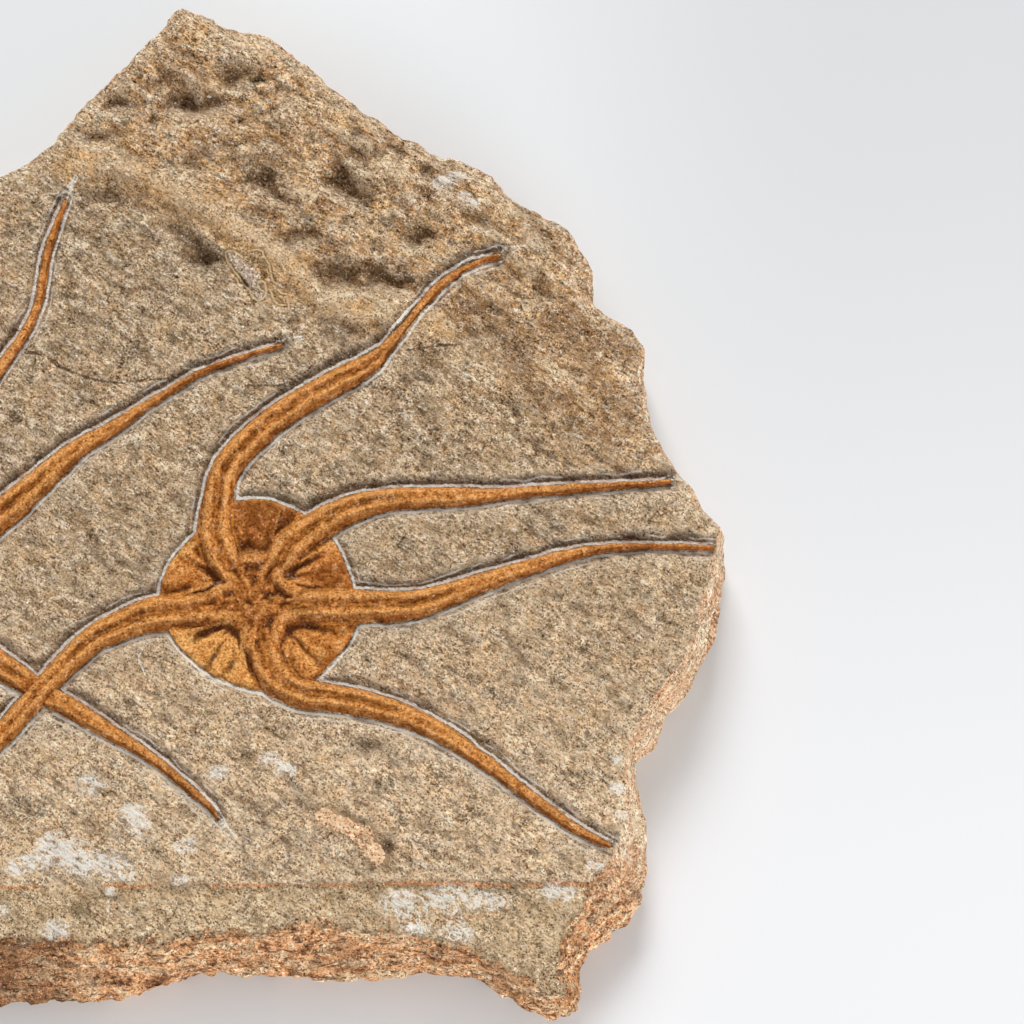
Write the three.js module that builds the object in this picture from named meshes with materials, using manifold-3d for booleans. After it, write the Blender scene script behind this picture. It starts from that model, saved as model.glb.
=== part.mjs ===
// Fossil brittle stars in their slab of sandstone, lying flat with the fossil face up.
// Millimetres, +Z up. The origin is the middle of the slab's underside.

import * as THREE from 'three';
import { mergeVertices } from 'three/addons/utils/BufferGeometryUtils.js';
import Module from 'manifold-3d';

// ---- Driving dimensions ----

const FACE_Z = 20;              // prepared face of the slab, above the flat underside
const EDGE_DROP = 0.8;          // the face rounds down by this much at its edge
const POCKET_DEPTH = 1.8;       // how deep the stars are let into the face
const GAP = 0.3;                // clear space between neighbouring pieces
const ARM_HEIGHT = 0.45;        // crest of an arm's ridges above the face, before its width adds to it
const CREST_PER_WIDTH = 0.14;   // wider stretches of an arm stand taller by this share of the half width
const GROOVE_DEPTH = 0.2;       // groove between the two ridges of an arm, as a share of its half width
const WIDEST_GROOVE = 2;        // half width past which the groove gets no deeper
const SHOULDER_DROP = 0.1;      // sides of an arm meet its ridges this far below the face
const DISC_REACH = 22;          // an arm lies on its disc out to here
const DISC_STEP = 4;            // and comes down into its own pocket over this distance
const STATION_STEP = 4.5;       // distance between the cross-sections of an arm
const DISC_EDGE = 0.2;          // rim of a disc, below the face
const DISC_PLATE = 0.6;         // thickness of the disc where an arm lies over it
const MOUTH_RADIUS = 4.6;       // raised mouth frame in the middle of a disc
const MOUTH_HEIGHT = 0.5;       // its height above the face
const CROSSING_THICKNESS = 0.7; // what is left of the lower arm where another arm crosses it

const POCKET_FLOOR = FACE_Z - POCKET_DEPTH;
const STAR_BASE = POCKET_FLOOR + GAP;
const PLATE_TOP = STAR_BASE + DISC_PLATE;
const CUTTER_TOP = FACE_Z + 10;

// Outline of the slab at its widest, clockwise from the apex: [x, y, shelf]. The shelf is how far in from
// here the face starts, because the broken sides slope outward below it.
const OUTLINE = [
  [6, 103.5, 0.4], [13, 101, 0.4], [21.5, 97.5, 0.4], [29.5, 92, 0.5], [38, 86, 0.5], [47, 79, 0.5],
  [57.5, 72.5, 0.5], [66, 70, 0.5], [75, 62.5, 0.5], [86, 55.5, 0.6], [91, 46, 0.6], [92, 39, 0.6],
  [97, 34.5, 0.7], [101.5, 31, 0.7], [101.5, 21, 0.8], [105, 9.5, 1], [111.5, -1, 1.2], [117, -9, 1.5],
  [118, -15.5, 2], [115, -23.5, 2.8], [112.5, -34.5, 3.2], [107.5, -42, 3.6], [104, -49.5, 3.2],
  [99, -53, 1.8], [100, -62, 3], [101, -69, 5], [100.5, -76, 7], [97, -82.5, 8], [92.5, -88.5, 6.5],
  [88, -92, 4.5], [87.5, -99, 2.5], [84, -103.5, 2], [75, -100.5, 2.2], [67, -95.5, 2.6], [57.5, -94.5, 4.5],
  [46, -95.5, 7.5], [33, -95.5, 7.5], [19, -95.5, 5.5], [10.5, -94, 4.5], [7, -97.5, 6.5], [-5, -100.5, 9],
  [-16, -99.5, 10], [-28, -100.5, 10], [-42, -98, 8], [-57, -100.5, 7], [-72, -97.5, 6], [-87, -94, 5],
  [-98, -86, 4.5], [-103, -75.5, 4], [-109.5, -65, 4], [-111, -51, 3], [-110, -40, 2.4], [-115, -28, 2.4],
  [-118, -15, 2], [-116, -3, 1.6], [-110, 6, 1.4], [-108, 17, 1.2], [-101, 27, 1], [-90, 34, 0.8],
  [-79, 39.5, 0.7], [-66, 48, 0.6], [-52, 53, 0.6], [-41, 59, 0.5], [-30, 65.5, 0.5], [-19, 73.5, 0.5],
  [-14, 81, 0.5], [-7.5, 87.5, 0.4], [-2, 94, 0.4], [3, 99.5, 0.4],
];

const WIDEST_LEVEL = 0.42;      // the level of the outline itself

// Levels of the broken side: [height as a share of the face, share of the shelf, extra inset in mm]
const SIDE_LEVELS = [
  [0, 0.1, 1.8],
  [0.18, 0, 0.5],
  [WIDEST_LEVEL, 0, 0],
  [0.58, 0.2, 0.1],
  [0.78, 0.55, 0],
];
const FRACTURE = 0.45;          // how far the broken side wanders in, above and below that level

const FACE_RINGS = 13;          // rings of points between the edge of the face and its middle

// Weathered relief of the upper face: [x, y, radius, height] of each swell (+) and hollow (-)
const RELIEF = [
  [8, 74, 34, 1.0], [52, 56, 22, 0.8], [14, 94, 9, 0.9], [41, 68, 8, 0.8], [19, 54, 7, 0.8],
  [32, 50, 7, 0.9], [-6, 83, 8, -1.1], [8, 84, 7, -1.2], [10, 52, 7, -1.1], [35.5, 58, 7, -1.2],
  [46.5, 46, 8, -1], [72, 55, 7, -0.6], [60, 64, 6, 0.5],
];

// Margin of a disc round its centre, between and under the arms: [x, y]
const DISC_MARGIN = [
  [-5.4, 19.1], [0.6, 19.6], [8.1, 16.8], [13.9, 12], [17, 6.2], [18.6, 0.9], [19, -6.3], [15.8, -12],
  [10.9, -16.8], [0.1, -19], [-8.6, -16.2], [-17.4, -8.2], [-19.8, -0.3], [-17.8, 6.8], [-12.6, 13],
];

// The stars. Each arm is a list of [x, y, half width] from the mouth frame out to the tip.
const STARS = [
  {
    name: 'star_1',
    disc: [24.6, -21.3],
    mouth: [23.6, -23.3],
    discTurn: 0,
    arms: [
      [[20.5, -19, 2.3], [18.5, -16.5, 3.3], [16.5, -12, 3.8], [15.5, -8, 3.6], [16, -1.5, 3.1],
        [17.5, 5, 2.9], [21, 9.5, 2.9], [29, 16.5, 2.7], [38.5, 22.5, 2.6], [44, 25.5, 2.4], [46.8, 27.3, 2],
        [48.8, 29.4, 1.4], [51.5, 32.5, 1.1], [60, 43, 0.9], [65.5, 47, 0.7], [72, 49.5, 0.4]],
      [[26, -18, 2.3], [28, -15, 3.3], [31, -11, 3.6], [38.5, -5.5, 3.1], [44, -3, 2.7], [51, -1.5, 2.2],
        [65, -1, 1.9], [72, -0.5, 1.2], [84.5, 0.5, 1], [106.5, 2, 0.4]],
      [[29, -23.5, 2.3], [32.5, -23.5, 3.4], [37.5, -23.5, 3.6], [50, -23.5, 3.2], [56, -23, 2.8],
        [68, -19, 2], [75, -16.5, 1.6], [84.5, -13.5, 1.3], [94.5, -11.5, 0.7], [115, -11.5, 0.4]],
      [[25, -29, 2.5], [25.5, -32, 3.6], [26.5, -35.5, 3.7], [29, -39, 3.3], [33, -41, 3], [45, -43, 2.6],
        [54.5, -46, 2.2], [62.5, -50, 1.8], [75.5, -59.5, 1.2], [87.5, -68.3, 1], [94, -71.5, 0.4]],
      [[18, -23.5, 2.3], [15, -24, 3.4], [10.5, -24.5, 3.6], [4, -25, 3.6], [-2, -27, 3.1], [-8, -30, 2.7],
        [-13, -34.5, 2.4], [-17, -39, 2.2], [-26, -49.5, 2.2], [-38.5, -62, 1.6], [-54.5, -73.5, 0.4]],
    ],
  },
  {
    name: 'star_2',
    disc: [-52.2, -20.2],
    mouth: [-51.8, -20.8],
    discTurn: 0.6,
    arms: [
      [[-51.5, -15, 2.3], [-51, -11.5, 3.3], [-50, -6, 3.5], [-43.5, 6.5, 3], [-38.5, 14, 2.6],
        [-33, 20.5, 1.8], [-27.5, 27.5, 1.1], [-22, 37.5, 0.9], [-19.5, 52, 0.8], [-16.5, 61, 0.4]],
      [[-46.5, -18, 2.3], [-43.5, -16.5, 3.3], [-39, -13.5, 3.5], [-29, -6, 3.2], [-18, 4, 2.5],
        [-12.5, 9, 1.9], [-6, 13, 1.5], [0.5, 17.5, 1], [13.5, 25.5, 0.6], [28, 30.5, 0.4]],
      [[-46.5, -24, 2.3], [-43.5, -25.5, 3.3], [-38.5, -28, 3.4], [-27.5, -35, 2.8], [-17, -41.5, 2.1],
        [-10, -45.5, 1.8], [-3.5, -49.5, 1.4], [3, -53.5, 1], [15, -63.5, 0.6], [17, -66, 0.3]],
      [[-54, -26.2, 2.3], [-55, -29.5, 3.3], [-57, -34.5, 3.5], [-62, -47, 3], [-66.5, -53.5, 2.7],
        [-73, -59.5, 2.3], [-80.5, -64, 1.8], [-89, -67, 1.2], [-98, -68, 0.4]],
      [[-57.5, -20, 2.3], [-60.5, -19, 3.3], [-66, -18, 3.5], [-77.5, -12.5, 3], [-85.5, -6, 2.6],
        [-91.5, 0.5, 2], [-95.5, 8, 1.3], [-98, 18, 0.4]],
    ],
  },
];

// Where an arm of star 1 lies over an arm of star 2, as in life
const CROSSING = { x: -17.6, y: -40.6, flat: 4.5, ramp: 5, upper: 'star_1_arm_5', lower: 'star_2_arm_3' };

// ---- Small tools ----

const wasm = await Module();
wasm.setup();

/** Closed mesh through rings of equal point counts, each end closed by a fan round its middle. */
function loft(rings) {
  const count = rings[0].length;
  const points = rings.flat();
  const index = [];
  const corner = (ring, i) => ring * count + (i % count);
  for (let ring = 0; ring + 1 < rings.length; ring += 1) {
    for (let i = 0; i < count; i += 1) {
      index.push(corner(ring, i), corner(ring, i + 1), corner(ring + 1, i + 1));
      index.push(corner(ring, i), corner(ring + 1, i + 1), corner(ring + 1, i));
    }
  }
  const middle = (ring) => ring.reduce((sum, p) => sum.add(p), new THREE.Vector3()).divideScalar(count);
  const last = rings.length - 1;
  points.push(middle(rings[0]), middle(rings[last]));
  for (let i = 0; i < count; i += 1) {
    index.push(corner(0, i + 1), corner(0, i), points.length - 2);
    index.push(corner(last, i), corner(last, i + 1), points.length - 1);
  }
  const geometry = new THREE.BufferGeometry().setFromPoints(points);
  geometry.setIndex(index);
  return geometry;
}

/** A geometry as a solid that can be cut and joined. */
function toSolid(geometry) {
  const merged = mergeVertices(geometry, 1e-4);
  return new wasm.Manifold(new wasm.Mesh({
    numProp: 3,
    vertProperties: new Float32Array(merged.attributes.position.array),
    triVerts: new Uint32Array(merged.index.array),
  }));
}

/** A solid as a flat-shaded geometry. */
function toGeometry(solid) {
  const mesh = solid.getMesh();
  const indexed = new THREE.BufferGeometry();
  indexed.setAttribute('position', new THREE.BufferAttribute(mesh.vertProperties, 3));
  indexed.setIndex(new THREE.BufferAttribute(mesh.triVerts, 1));
  const geometry = indexed.toNonIndexed();
  geometry.computeVertexNormals();
  return geometry;
}

/** 0 below the first edge, 1 above the second, smooth between. */
const smooth = (from, to, value) => THREE.MathUtils.smoothstep(value, from, to);

// ---- Slab ----

/** Height of the weathered relief at a point of the face. */
function reliefAt(x, y) {
  let height = 0;
  for (const [cx, cy, radius, rise] of RELIEF) {
    height += rise * Math.exp(-((x - cx) ** 2 + (y - cy) ** 2) / radius ** 2);
  }
  return height * smooth(26, 40, y + 0.12 * x);
}

/** The outline, anticlockwise, drawn in towards its inside by a distance that its shelf and place give. */
function insetOutline(distanceOf) {
  return OUTLINE.map(([x, y, shelf], i) => {
    const [beforeX, beforeY] = OUTLINE[(i + OUTLINE.length - 1) % OUTLINE.length];
    const [afterX, afterY] = OUTLINE[(i + 1) % OUTLINE.length];
    const along = new THREE.Vector2(afterX - beforeX, afterY - beforeY).normalize();
    const distance = distanceOf(shelf, i);
    return new THREE.Vector2(x + along.y * distance, y - along.x * distance);
  }).reverse();
}

function slabSolid() {
  const rings = SIDE_LEVELS.map(([level, shelfShare, inset]) => {
    const away = smooth(0, 0.2, Math.abs(level - WIDEST_LEVEL));
    const fracture = (i) => FRACTURE * (1 + Math.sin(i * 2.4 + level * 11)) * away;
    const outline = insetOutline((shelf, i) => shelf * shelfShare + inset + fracture(i));
    return outline.map((p) => new THREE.Vector3(p.x, p.y, level * FACE_Z));
  });
  const edge = insetOutline((shelf) => shelf);
  for (let ring = 0; ring < FACE_RINGS; ring += 1) {
    const scale = 1 - ring / FACE_RINGS;
    const drop = ring === 0 ? EDGE_DROP : 0;
    rings.push(edge.map((p) => {
      const x = p.x * scale;
      const y = p.y * scale;
      return new THREE.Vector3(x, y, FACE_Z + reliefAt(x, y) - drop);
    }));
  }
  return toSolid(loft(rings));
}

// ---- Arms ----

/** Cross-section places along an arm: middle, direction across, and half width. */
function stations(route) {
  const curve = new THREE.CatmullRomCurve3(route.map((p) => new THREE.Vector3(...p)), false, 'centripetal');
  const steps = Math.max(8, Math.round(curve.getLength() / STATION_STEP));
  return Array.from({ length: steps + 1 }, (_, i) => {
    const p = curve.getPointAt(i / steps);
    const t = curve.getTangentAt(i / steps);
    const across = new THREE.Vector2(-t.y, t.x).normalize();
    return { x: p.x, y: p.y, across, half: p.z };
  });
}

/** How far the upper arm is lifted where it crosses the lower one, from 0 to 1. */
function crossingLift(x, y) {
  const distance = Math.hypot(x - CROSSING.x, y - CROSSING.y);
  return 1 - smooth(CROSSING.flat, CROSSING.flat + CROSSING.ramp, distance);
}

/** Underside of an arm: raised where it lies over its own disc or over another arm. */
function undersideAt(name, star, x, y) {
  const reach = Math.hypot(x - star.disc[0], y - star.disc[1]);
  const overDisc = 1 - smooth(DISC_REACH, DISC_REACH + DISC_STEP, reach);
  const overArm = name === CROSSING.upper ? crossingLift(x, y) : 0;
  const lift = Math.max(overDisc * (DISC_PLATE + GAP), overArm * (CROSSING_THICKNESS + GAP));
  return STAR_BASE + lift;
}

/** Twin ridges with a groove between them, on a flat underside. */
function armSolid(name, star, route) {
  const rings = stations(route).map(({ x, y, across, half }) => {
    const base = undersideAt(name, star, x, y);
    const lift = name === CROSSING.upper ? crossingLift(x, y) * GAP : 0;
    const crest = FACE_Z + ARM_HEIGHT + CREST_PER_WIDTH * half + lift;
    const groove = crest - GROOVE_DEPTH * Math.min(half, WIDEST_GROOVE);
    const shoulder = FACE_Z + lift - SHOULDER_DROP;
    const section = [
      [-1, base], [1, base], [1, shoulder], [0.5, crest], [0, groove], [-0.5, crest], [-1, shoulder],
    ];
    return section.map(([side, z]) => (
      new THREE.Vector3(x + across.x * side * half, y + across.y * side * half, z)
    ));
  });
  return toSolid(loft(rings));
}

/** Straight-sided block over an arm's footprint, grown all round, for cutting. */
function armCutter(route, grow, floorAt) {
  const places = stations(route);
  const first = places[0];
  const last = places[places.length - 1];
  const push = (place, sign) => ({
    ...place,
    x: place.x + sign * place.across.y * grow,
    y: place.y - sign * place.across.x * grow,
  });
  const grown = [push(first, -1), ...places.slice(1, -1), push(last, 1)];
  const rings = grown.map(({ x, y, across, half }) => {
    const reach = half + grow;
    const floor = floorAt(x, y);
    return [[-reach, floor], [reach, floor], [reach, CUTTER_TOP], [-reach, CUTTER_TOP]].map(([side, z]) => (
      new THREE.Vector3(x + across.x * side, y + across.y * side, z)
    ));
  });
  return toSolid(loft(rings));
}

// ---- Disc ----

/** Margin of a star's disc, anticlockwise, smoothed through its points and grown outward. */
function discOutline(star, grow, scale = 1) {
  const points = DISC_MARGIN.map(([x, y]) => new THREE.Vector3(x, y, 0));
  const curve = new THREE.CatmullRomCurve3(points, true, 'centripetal');
  const turn = new THREE.Vector3(0, 0, 1);
  return curve.getSpacedPoints(40).slice(0, 40).map((p) => {
    const outward = p.clone().normalize();
    const q = p.addScaledVector(outward, grow).multiplyScalar(scale).applyAxisAngle(turn, star.discTurn);
    return new THREE.Vector2(q.x + star.disc[0], q.y + star.disc[1]);
  }).reverse();
}

/** One ring of the mouth frame. */
function mouthRing(star, radius, z) {
  return discOutline(star, 0).map((p) => {
    const direction = new THREE.Vector2(p.x - star.disc[0], p.y - star.disc[1]).normalize();
    return new THREE.Vector3(star.mouth[0] + direction.x * radius, star.mouth[1] + direction.y * radius, z);
  });
}

function discSolid(star, armCutters) {
  const at = (outline, z) => outline.map((p) => new THREE.Vector3(p.x, p.y, z));
  const rings = [
    at(discOutline(star, 0), STAR_BASE),
    at(discOutline(star, 0), FACE_Z - DISC_EDGE),
    at(discOutline(star, 0, 0.7), FACE_Z - DISC_EDGE - 0.2),
    mouthRing(star, MOUTH_RADIUS + 2, FACE_Z - DISC_EDGE - 0.3),
    mouthRing(star, MOUTH_RADIUS, FACE_Z + MOUTH_HEIGHT),
    mouthRing(star, MOUTH_RADIUS * 0.5, FACE_Z + MOUTH_HEIGHT),
    mouthRing(star, MOUTH_RADIUS * 0.25, FACE_Z),
  ];
  let disc = toSolid(loft(rings));
  for (const cutter of armCutters) disc = disc.subtract(cutter);
  return disc;
}

function discPocket(star) {
  const at = (z) => discOutline(star, GAP).map((p) => new THREE.Vector3(p.x, p.y, z));
  return toSolid(loft([at(POCKET_FLOOR), at(CUTTER_TOP)]));
}

// ---- Assembly ----

const sandstone = new THREE.MeshStandardMaterial({ color: 0xb59a7b, roughness: 0.95, metalness: 0 });
const fossil = new THREE.MeshStandardMaterial({ color: 0xaa753c, roughness: 0.85, metalness: 0 });

const group = new THREE.Group();

function add(name, solid, material) {
  const mesh = new THREE.Mesh(toGeometry(solid), material.clone());
  mesh.name = name;
  group.add(mesh);
}

const pockets = STARS.flatMap((star) => [
  discPocket(star),
  ...star.arms.map((route) => armCutter(route, GAP, () => POCKET_FLOOR)),
]);
const allPockets = pockets.reduce((sum, pocket) => sum.add(pocket));
add('slab', slabSolid().subtract(allPockets), sandstone);

const upperRoute = STARS[0].arms[4];
const underUpperArm = armCutter(upperRoute, GAP, () => STAR_BASE + CROSSING_THICKNESS);

for (const star of STARS) {
  const overDisc = star.arms.map((route) => armCutter(route, GAP, () => PLATE_TOP));
  add(`${star.name}_disc`, discSolid(star, overDisc), fossil);
  star.arms.forEach((route, i) => {
    const name = `${star.name}_arm_${i + 1}`;
    let arm = armSolid(name, star, route);
    if (name === CROSSING.lower) arm = arm.subtract(underUpperArm);
    add(name, arm, fossil);
  });
}

export default group;
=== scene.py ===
# %% [markdown]
# # Fossil brittle stars in a slab of sandstone
# Two brittle stars lie in a slab of fine brown sandstone. Whoever freed them scraped the stone away with a
# needle, so that each star stands a little proud in a shallow moat with a pale scratched line round it. The
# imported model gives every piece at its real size. This lesson gives each of them its surface.

# %% Load the frame
import math
import bpy
import numpy as np
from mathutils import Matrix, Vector, geometry, kdtree, noise


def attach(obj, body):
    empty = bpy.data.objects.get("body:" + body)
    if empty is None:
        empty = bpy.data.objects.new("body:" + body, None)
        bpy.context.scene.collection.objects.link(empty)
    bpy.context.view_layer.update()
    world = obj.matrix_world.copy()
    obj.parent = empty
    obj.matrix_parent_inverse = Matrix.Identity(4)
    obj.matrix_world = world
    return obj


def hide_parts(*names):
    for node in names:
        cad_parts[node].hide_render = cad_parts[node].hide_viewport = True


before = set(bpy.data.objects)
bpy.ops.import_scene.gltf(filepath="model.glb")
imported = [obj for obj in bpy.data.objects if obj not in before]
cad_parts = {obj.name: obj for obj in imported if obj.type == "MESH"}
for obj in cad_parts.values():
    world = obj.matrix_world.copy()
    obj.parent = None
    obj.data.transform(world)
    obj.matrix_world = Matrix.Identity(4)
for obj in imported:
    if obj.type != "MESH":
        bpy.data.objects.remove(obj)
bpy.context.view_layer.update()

MM = 0.001                                  # the scene is in metres, the stone is thought out in millimetres
scene = bpy.context.scene

# %% [markdown]
# ## Camera
# The slab lies on its back, so the camera looks down on it, a little from the side of its straight lower
# edge. A long lens from three quarters of a metre keeps the outline almost free of perspective.

# %% Camera
FACE = 20.0                                 # height of the prepared face, as in the model
LOOK_AT = Vector((74.8, -4.3, FACE))
ELEVATION = math.radians(76)
DISTANCE = 739.5

camera_data = bpy.data.cameras.new("camera")
camera_data.lens = 130.0
camera_data.sensor_width = 36.0
camera_data.clip_start = 0.01
camera_data.clip_end = 20.0
camera = bpy.data.objects.new("camera", camera_data)
scene.collection.objects.link(camera)
backward = Vector((0, -math.cos(ELEVATION), math.sin(ELEVATION)))
camera.location = (LOOK_AT + backward * DISTANCE) * MM
camera.rotation_euler = backward.to_track_quat("Z", "Y").to_euler()
scene.camera = camera
print("camera at", [round(c, 3) for c in camera.location])

# %% [markdown]
# ## A box of paints
# Every finish here is a sum of simple patterns: clouds of noise, grains, and masks that fade from one
# distance to another. The paint box writes such sums as nodes. All sizes are in millimetres on the object
# itself.


# %% Paint box
DARKEST = 0.05                              # no grain is darker than this share of its colour


def srgb(red, green, blue):
    """A colour as screens give it, in the linear numbers of the renderer."""
    parts = [c / 255 for c in (red, green, blue)]
    return tuple(c / 12.92 if c <= 0.04045 else ((c + 0.055) / 1.055) ** 2.4 for c in parts) + (1.0,)


class Tone:
    """A number that differs from place to place, and is added and multiplied like a plain one."""

    def __init__(self, paint, socket):
        self.paint, self.socket = paint, socket

    def __add__(self, other):
        return self.paint.math("ADD", self, other)

    def __sub__(self, other):
        return self.paint.math("SUBTRACT", self, other)

    def __mul__(self, other):
        return self.paint.math("MULTIPLY", self, other)

    def __abs__(self):
        return self.paint.math("ABSOLUTE", self)

    __radd__, __rmul__ = __add__, __mul__

    def fade(self, start, end):
        """0 at start and 1 at end, smooth between; start may be the larger."""
        made = self.paint.node("MapRange", interpolation_type="SMOOTHSTEP")
        limits = min(start, end), max(start, end), float(start > end), float(start < end)
        for socket, given in zip(made.inputs, (self, *limits)):
            self.paint.feed(socket, given)
        return Tone(self.paint, made.outputs[0])


class Paint:
    """A material that is built up from tones and colours."""

    def __init__(self, name, roughness, specular):
        self.material = bpy.data.materials.new(name)
        self.material.use_nodes = True
        self.tree = self.material.node_tree
        self.shader = self.tree.nodes["Principled BSDF"]
        self.shader.inputs["Roughness"].default_value = roughness
        self.shader.inputs["Specular IOR Level"].default_value = specular
        self.place = self.node("TexCoord").outputs["Object"]

    def node(self, kind, **settings):
        made = self.tree.nodes.new("ShaderNode" + kind)
        for key, value in settings.items():
            setattr(made, key, value)
        return made

    def feed(self, socket, value):
        value = value.socket if isinstance(value, Tone) else value
        if isinstance(value, bpy.types.NodeSocket):
            self.tree.links.new(value, socket)
        else:
            socket.default_value = value

    def math(self, operation, a, b=0.0):
        made = self.node("Math", operation=operation)
        self.feed(made.inputs[0], a)
        self.feed(made.inputs[1], b)
        return Tone(self, made.outputs[0])

    def larger(self, a, b):
        return self.math("MAXIMUM", a, b)

    def smaller(self, a, b):
        return self.math("MINIMUM", a, b)

    def spots(self, size, stretch=(1, 1, 1), turn=0.0, seed=0):
        """Places for a pattern whose waves are size mm wide."""
        made = self.node("Mapping", vector_type="TEXTURE")
        self.feed(made.inputs["Vector"], self.place)
        made.inputs["Location"].default_value = [seed * shift * size * MM for shift in (3.7, 1.9, 2.3)]
        made.inputs["Rotation"].default_value = (0, 0, math.radians(turn))
        made.inputs["Scale"].default_value = [size * MM / s for s in stretch]
        return made.outputs["Vector"]

    def clouds(self, size, detail=3.0, **where):
        """Soft noise, mostly 0.3 to 0.7."""
        made = self.node("TexNoise")
        self.feed(made.inputs["Vector"], self.spots(size, **where))
        made.inputs["Scale"].default_value = 1.0
        made.inputs["Detail"].default_value = detail
        made.inputs["Roughness"].default_value = 0.6
        return Tone(self, made.outputs["Fac"])

    def grains(self, size, **where):
        """Three random numbers for each grain, 0 to 1."""
        made = self.node("TexVoronoi")
        self.feed(made.inputs["Vector"], self.spots(size, **where))
        made.inputs["Scale"].default_value = 1.0
        split = self.node("SeparateColor")
        self.feed(split.inputs[0], made.outputs["Color"])
        return [Tone(self, socket) for socket in list(split.outputs)[:3]]

    def mask(self, name):
        """A number that the mesh carries."""
        return Tone(self, self.node("Attribute", attribute_name=name).outputs["Fac"])

    def mix(self, share, base, over):
        """The base colour with another laid over it."""
        made = self.node("Mix", data_type="RGBA")
        for socket, value in zip((made.inputs[0], made.inputs[6], made.inputs[7]), (share, base, over)):
            self.feed(socket, value)
        return made.outputs[2]

    def coats(self, color, *layers):
        """The colour with others laid over it, each given as its share, its strength, red, green and blue."""
        for share, strength, *tint in layers:
            color = self.mix(share * strength, color, srgb(*tint))
        return color

    def grade(self, color, factor, green=1.0, blue=1.0):
        """The colour times a factor. Where green and blue follow it more strongly, dark is browner."""
        factor = self.larger(factor, DARKEST)
        parts = self.node("CombineXYZ")
        for socket, power in zip(parts.inputs, (1.0, green, blue)):
            self.feed(socket, self.math("POWER", factor, power))
        made = self.node("VectorMath", operation="MULTIPLY")
        self.feed(made.inputs[0], color)
        self.feed(made.inputs[1], parts.outputs[0])
        return made.outputs[0]

    def finish(self, color, height, depth):
        """Lays the colour on, with a bump that is depth mm high where the height goes from 0 to 1."""
        self.feed(self.shader.inputs["Base Color"], color)
        bump = self.node("Bump")
        bump.inputs["Strength"].default_value = 1.0
        bump.inputs["Distance"].default_value = depth * MM
        self.feed(bump.inputs["Height"], height)
        self.feed(self.shader.inputs["Normal"], bump.outputs[0])
        print(self.material.name, "has", len(self.tree.nodes), "nodes")
        return self.material


# %% [markdown]
# ## Floor and light
# One large soft lamp stands beyond the pointed end of the slab, so that slopes which face that way are
# bright and the walls of the moats that face away are dark. A pale sky fills the shadows. The floor is
# plain paper that grows a little darker away from the viewer, with painted light on it just below the
# slab's lower edge, where the slab casts its shadow.

# %% Floor
def make_floor():
    paint = Paint("pale_floor", roughness=0.95, specular=0.05)
    split = paint.node("SeparateXYZ")
    paint.feed(split.inputs[0], paint.place)
    x, y = (Tone(paint, split.outputs[axis]) for axis in "XY")
    far = paint.mix(x.fade(0.0, 0.15), (0.79, 0.81, 0.825, 1), (0.615, 0.625, 0.637, 1))
    color = paint.mix(y.fade(-0.1, 0.12), (0.775, 0.78, 0.795, 1), far)
    # Painted light on the floor just below the slab's lower edge, where the slab casts its shadow.
    color = paint.mix(y.fade(-0.088, -0.11) * x.fade(0.12, 0.05), color, (0.95, 0.955, 0.96, 1))
    bpy.ops.object.select_all(action="DESELECT")
    bpy.ops.mesh.primitive_plane_add(size=6.0)
    plane = bpy.context.object
    plane.name = "floor"
    plane.data.materials.append(paint.finish(color, paint.clouds(2), 0.01))
    return plane


floor = make_floor()

# %% Light
scene.view_settings.view_transform = "Standard"


def soft_lamp(name, location, size, power):
    """A square lamp that faces the slab from a place in metres."""
    data = bpy.data.lights.new(name, "AREA")
    data.size = size
    data.energy = power
    lamp = bpy.data.objects.new(name, data)
    scene.collection.objects.link(lamp)
    lamp.location = location
    lamp.rotation_euler = (Vector(location) - Vector((0.05, 0, 0))).to_track_quat("Z", "Y").to_euler()


soft_lamp("key", (-0.2, 2.05, 1.75), 1.1, 63.0)
soft_lamp("fill", (0.95, -1.15, 0.32), 0.9, 25.0)
world = bpy.data.worlds.new("pale_sky")
world.use_nodes = True
world.node_tree.nodes["Background"].inputs["Color"].default_value = (0.97, 0.985, 1.0, 1)
world.node_tree.nodes["Background"].inputs["Strength"].default_value = 0.42
scene.world = world

# %% [markdown]
# ## The plan of the stars
# A brittle star is a small disc with five whip-like arms. Each arm is drawn as a short list of places along
# its middle with its half width, and a smooth curve runs through them. These are the same places that the
# solid model uses, so the detailed arms land in their pockets.

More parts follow.
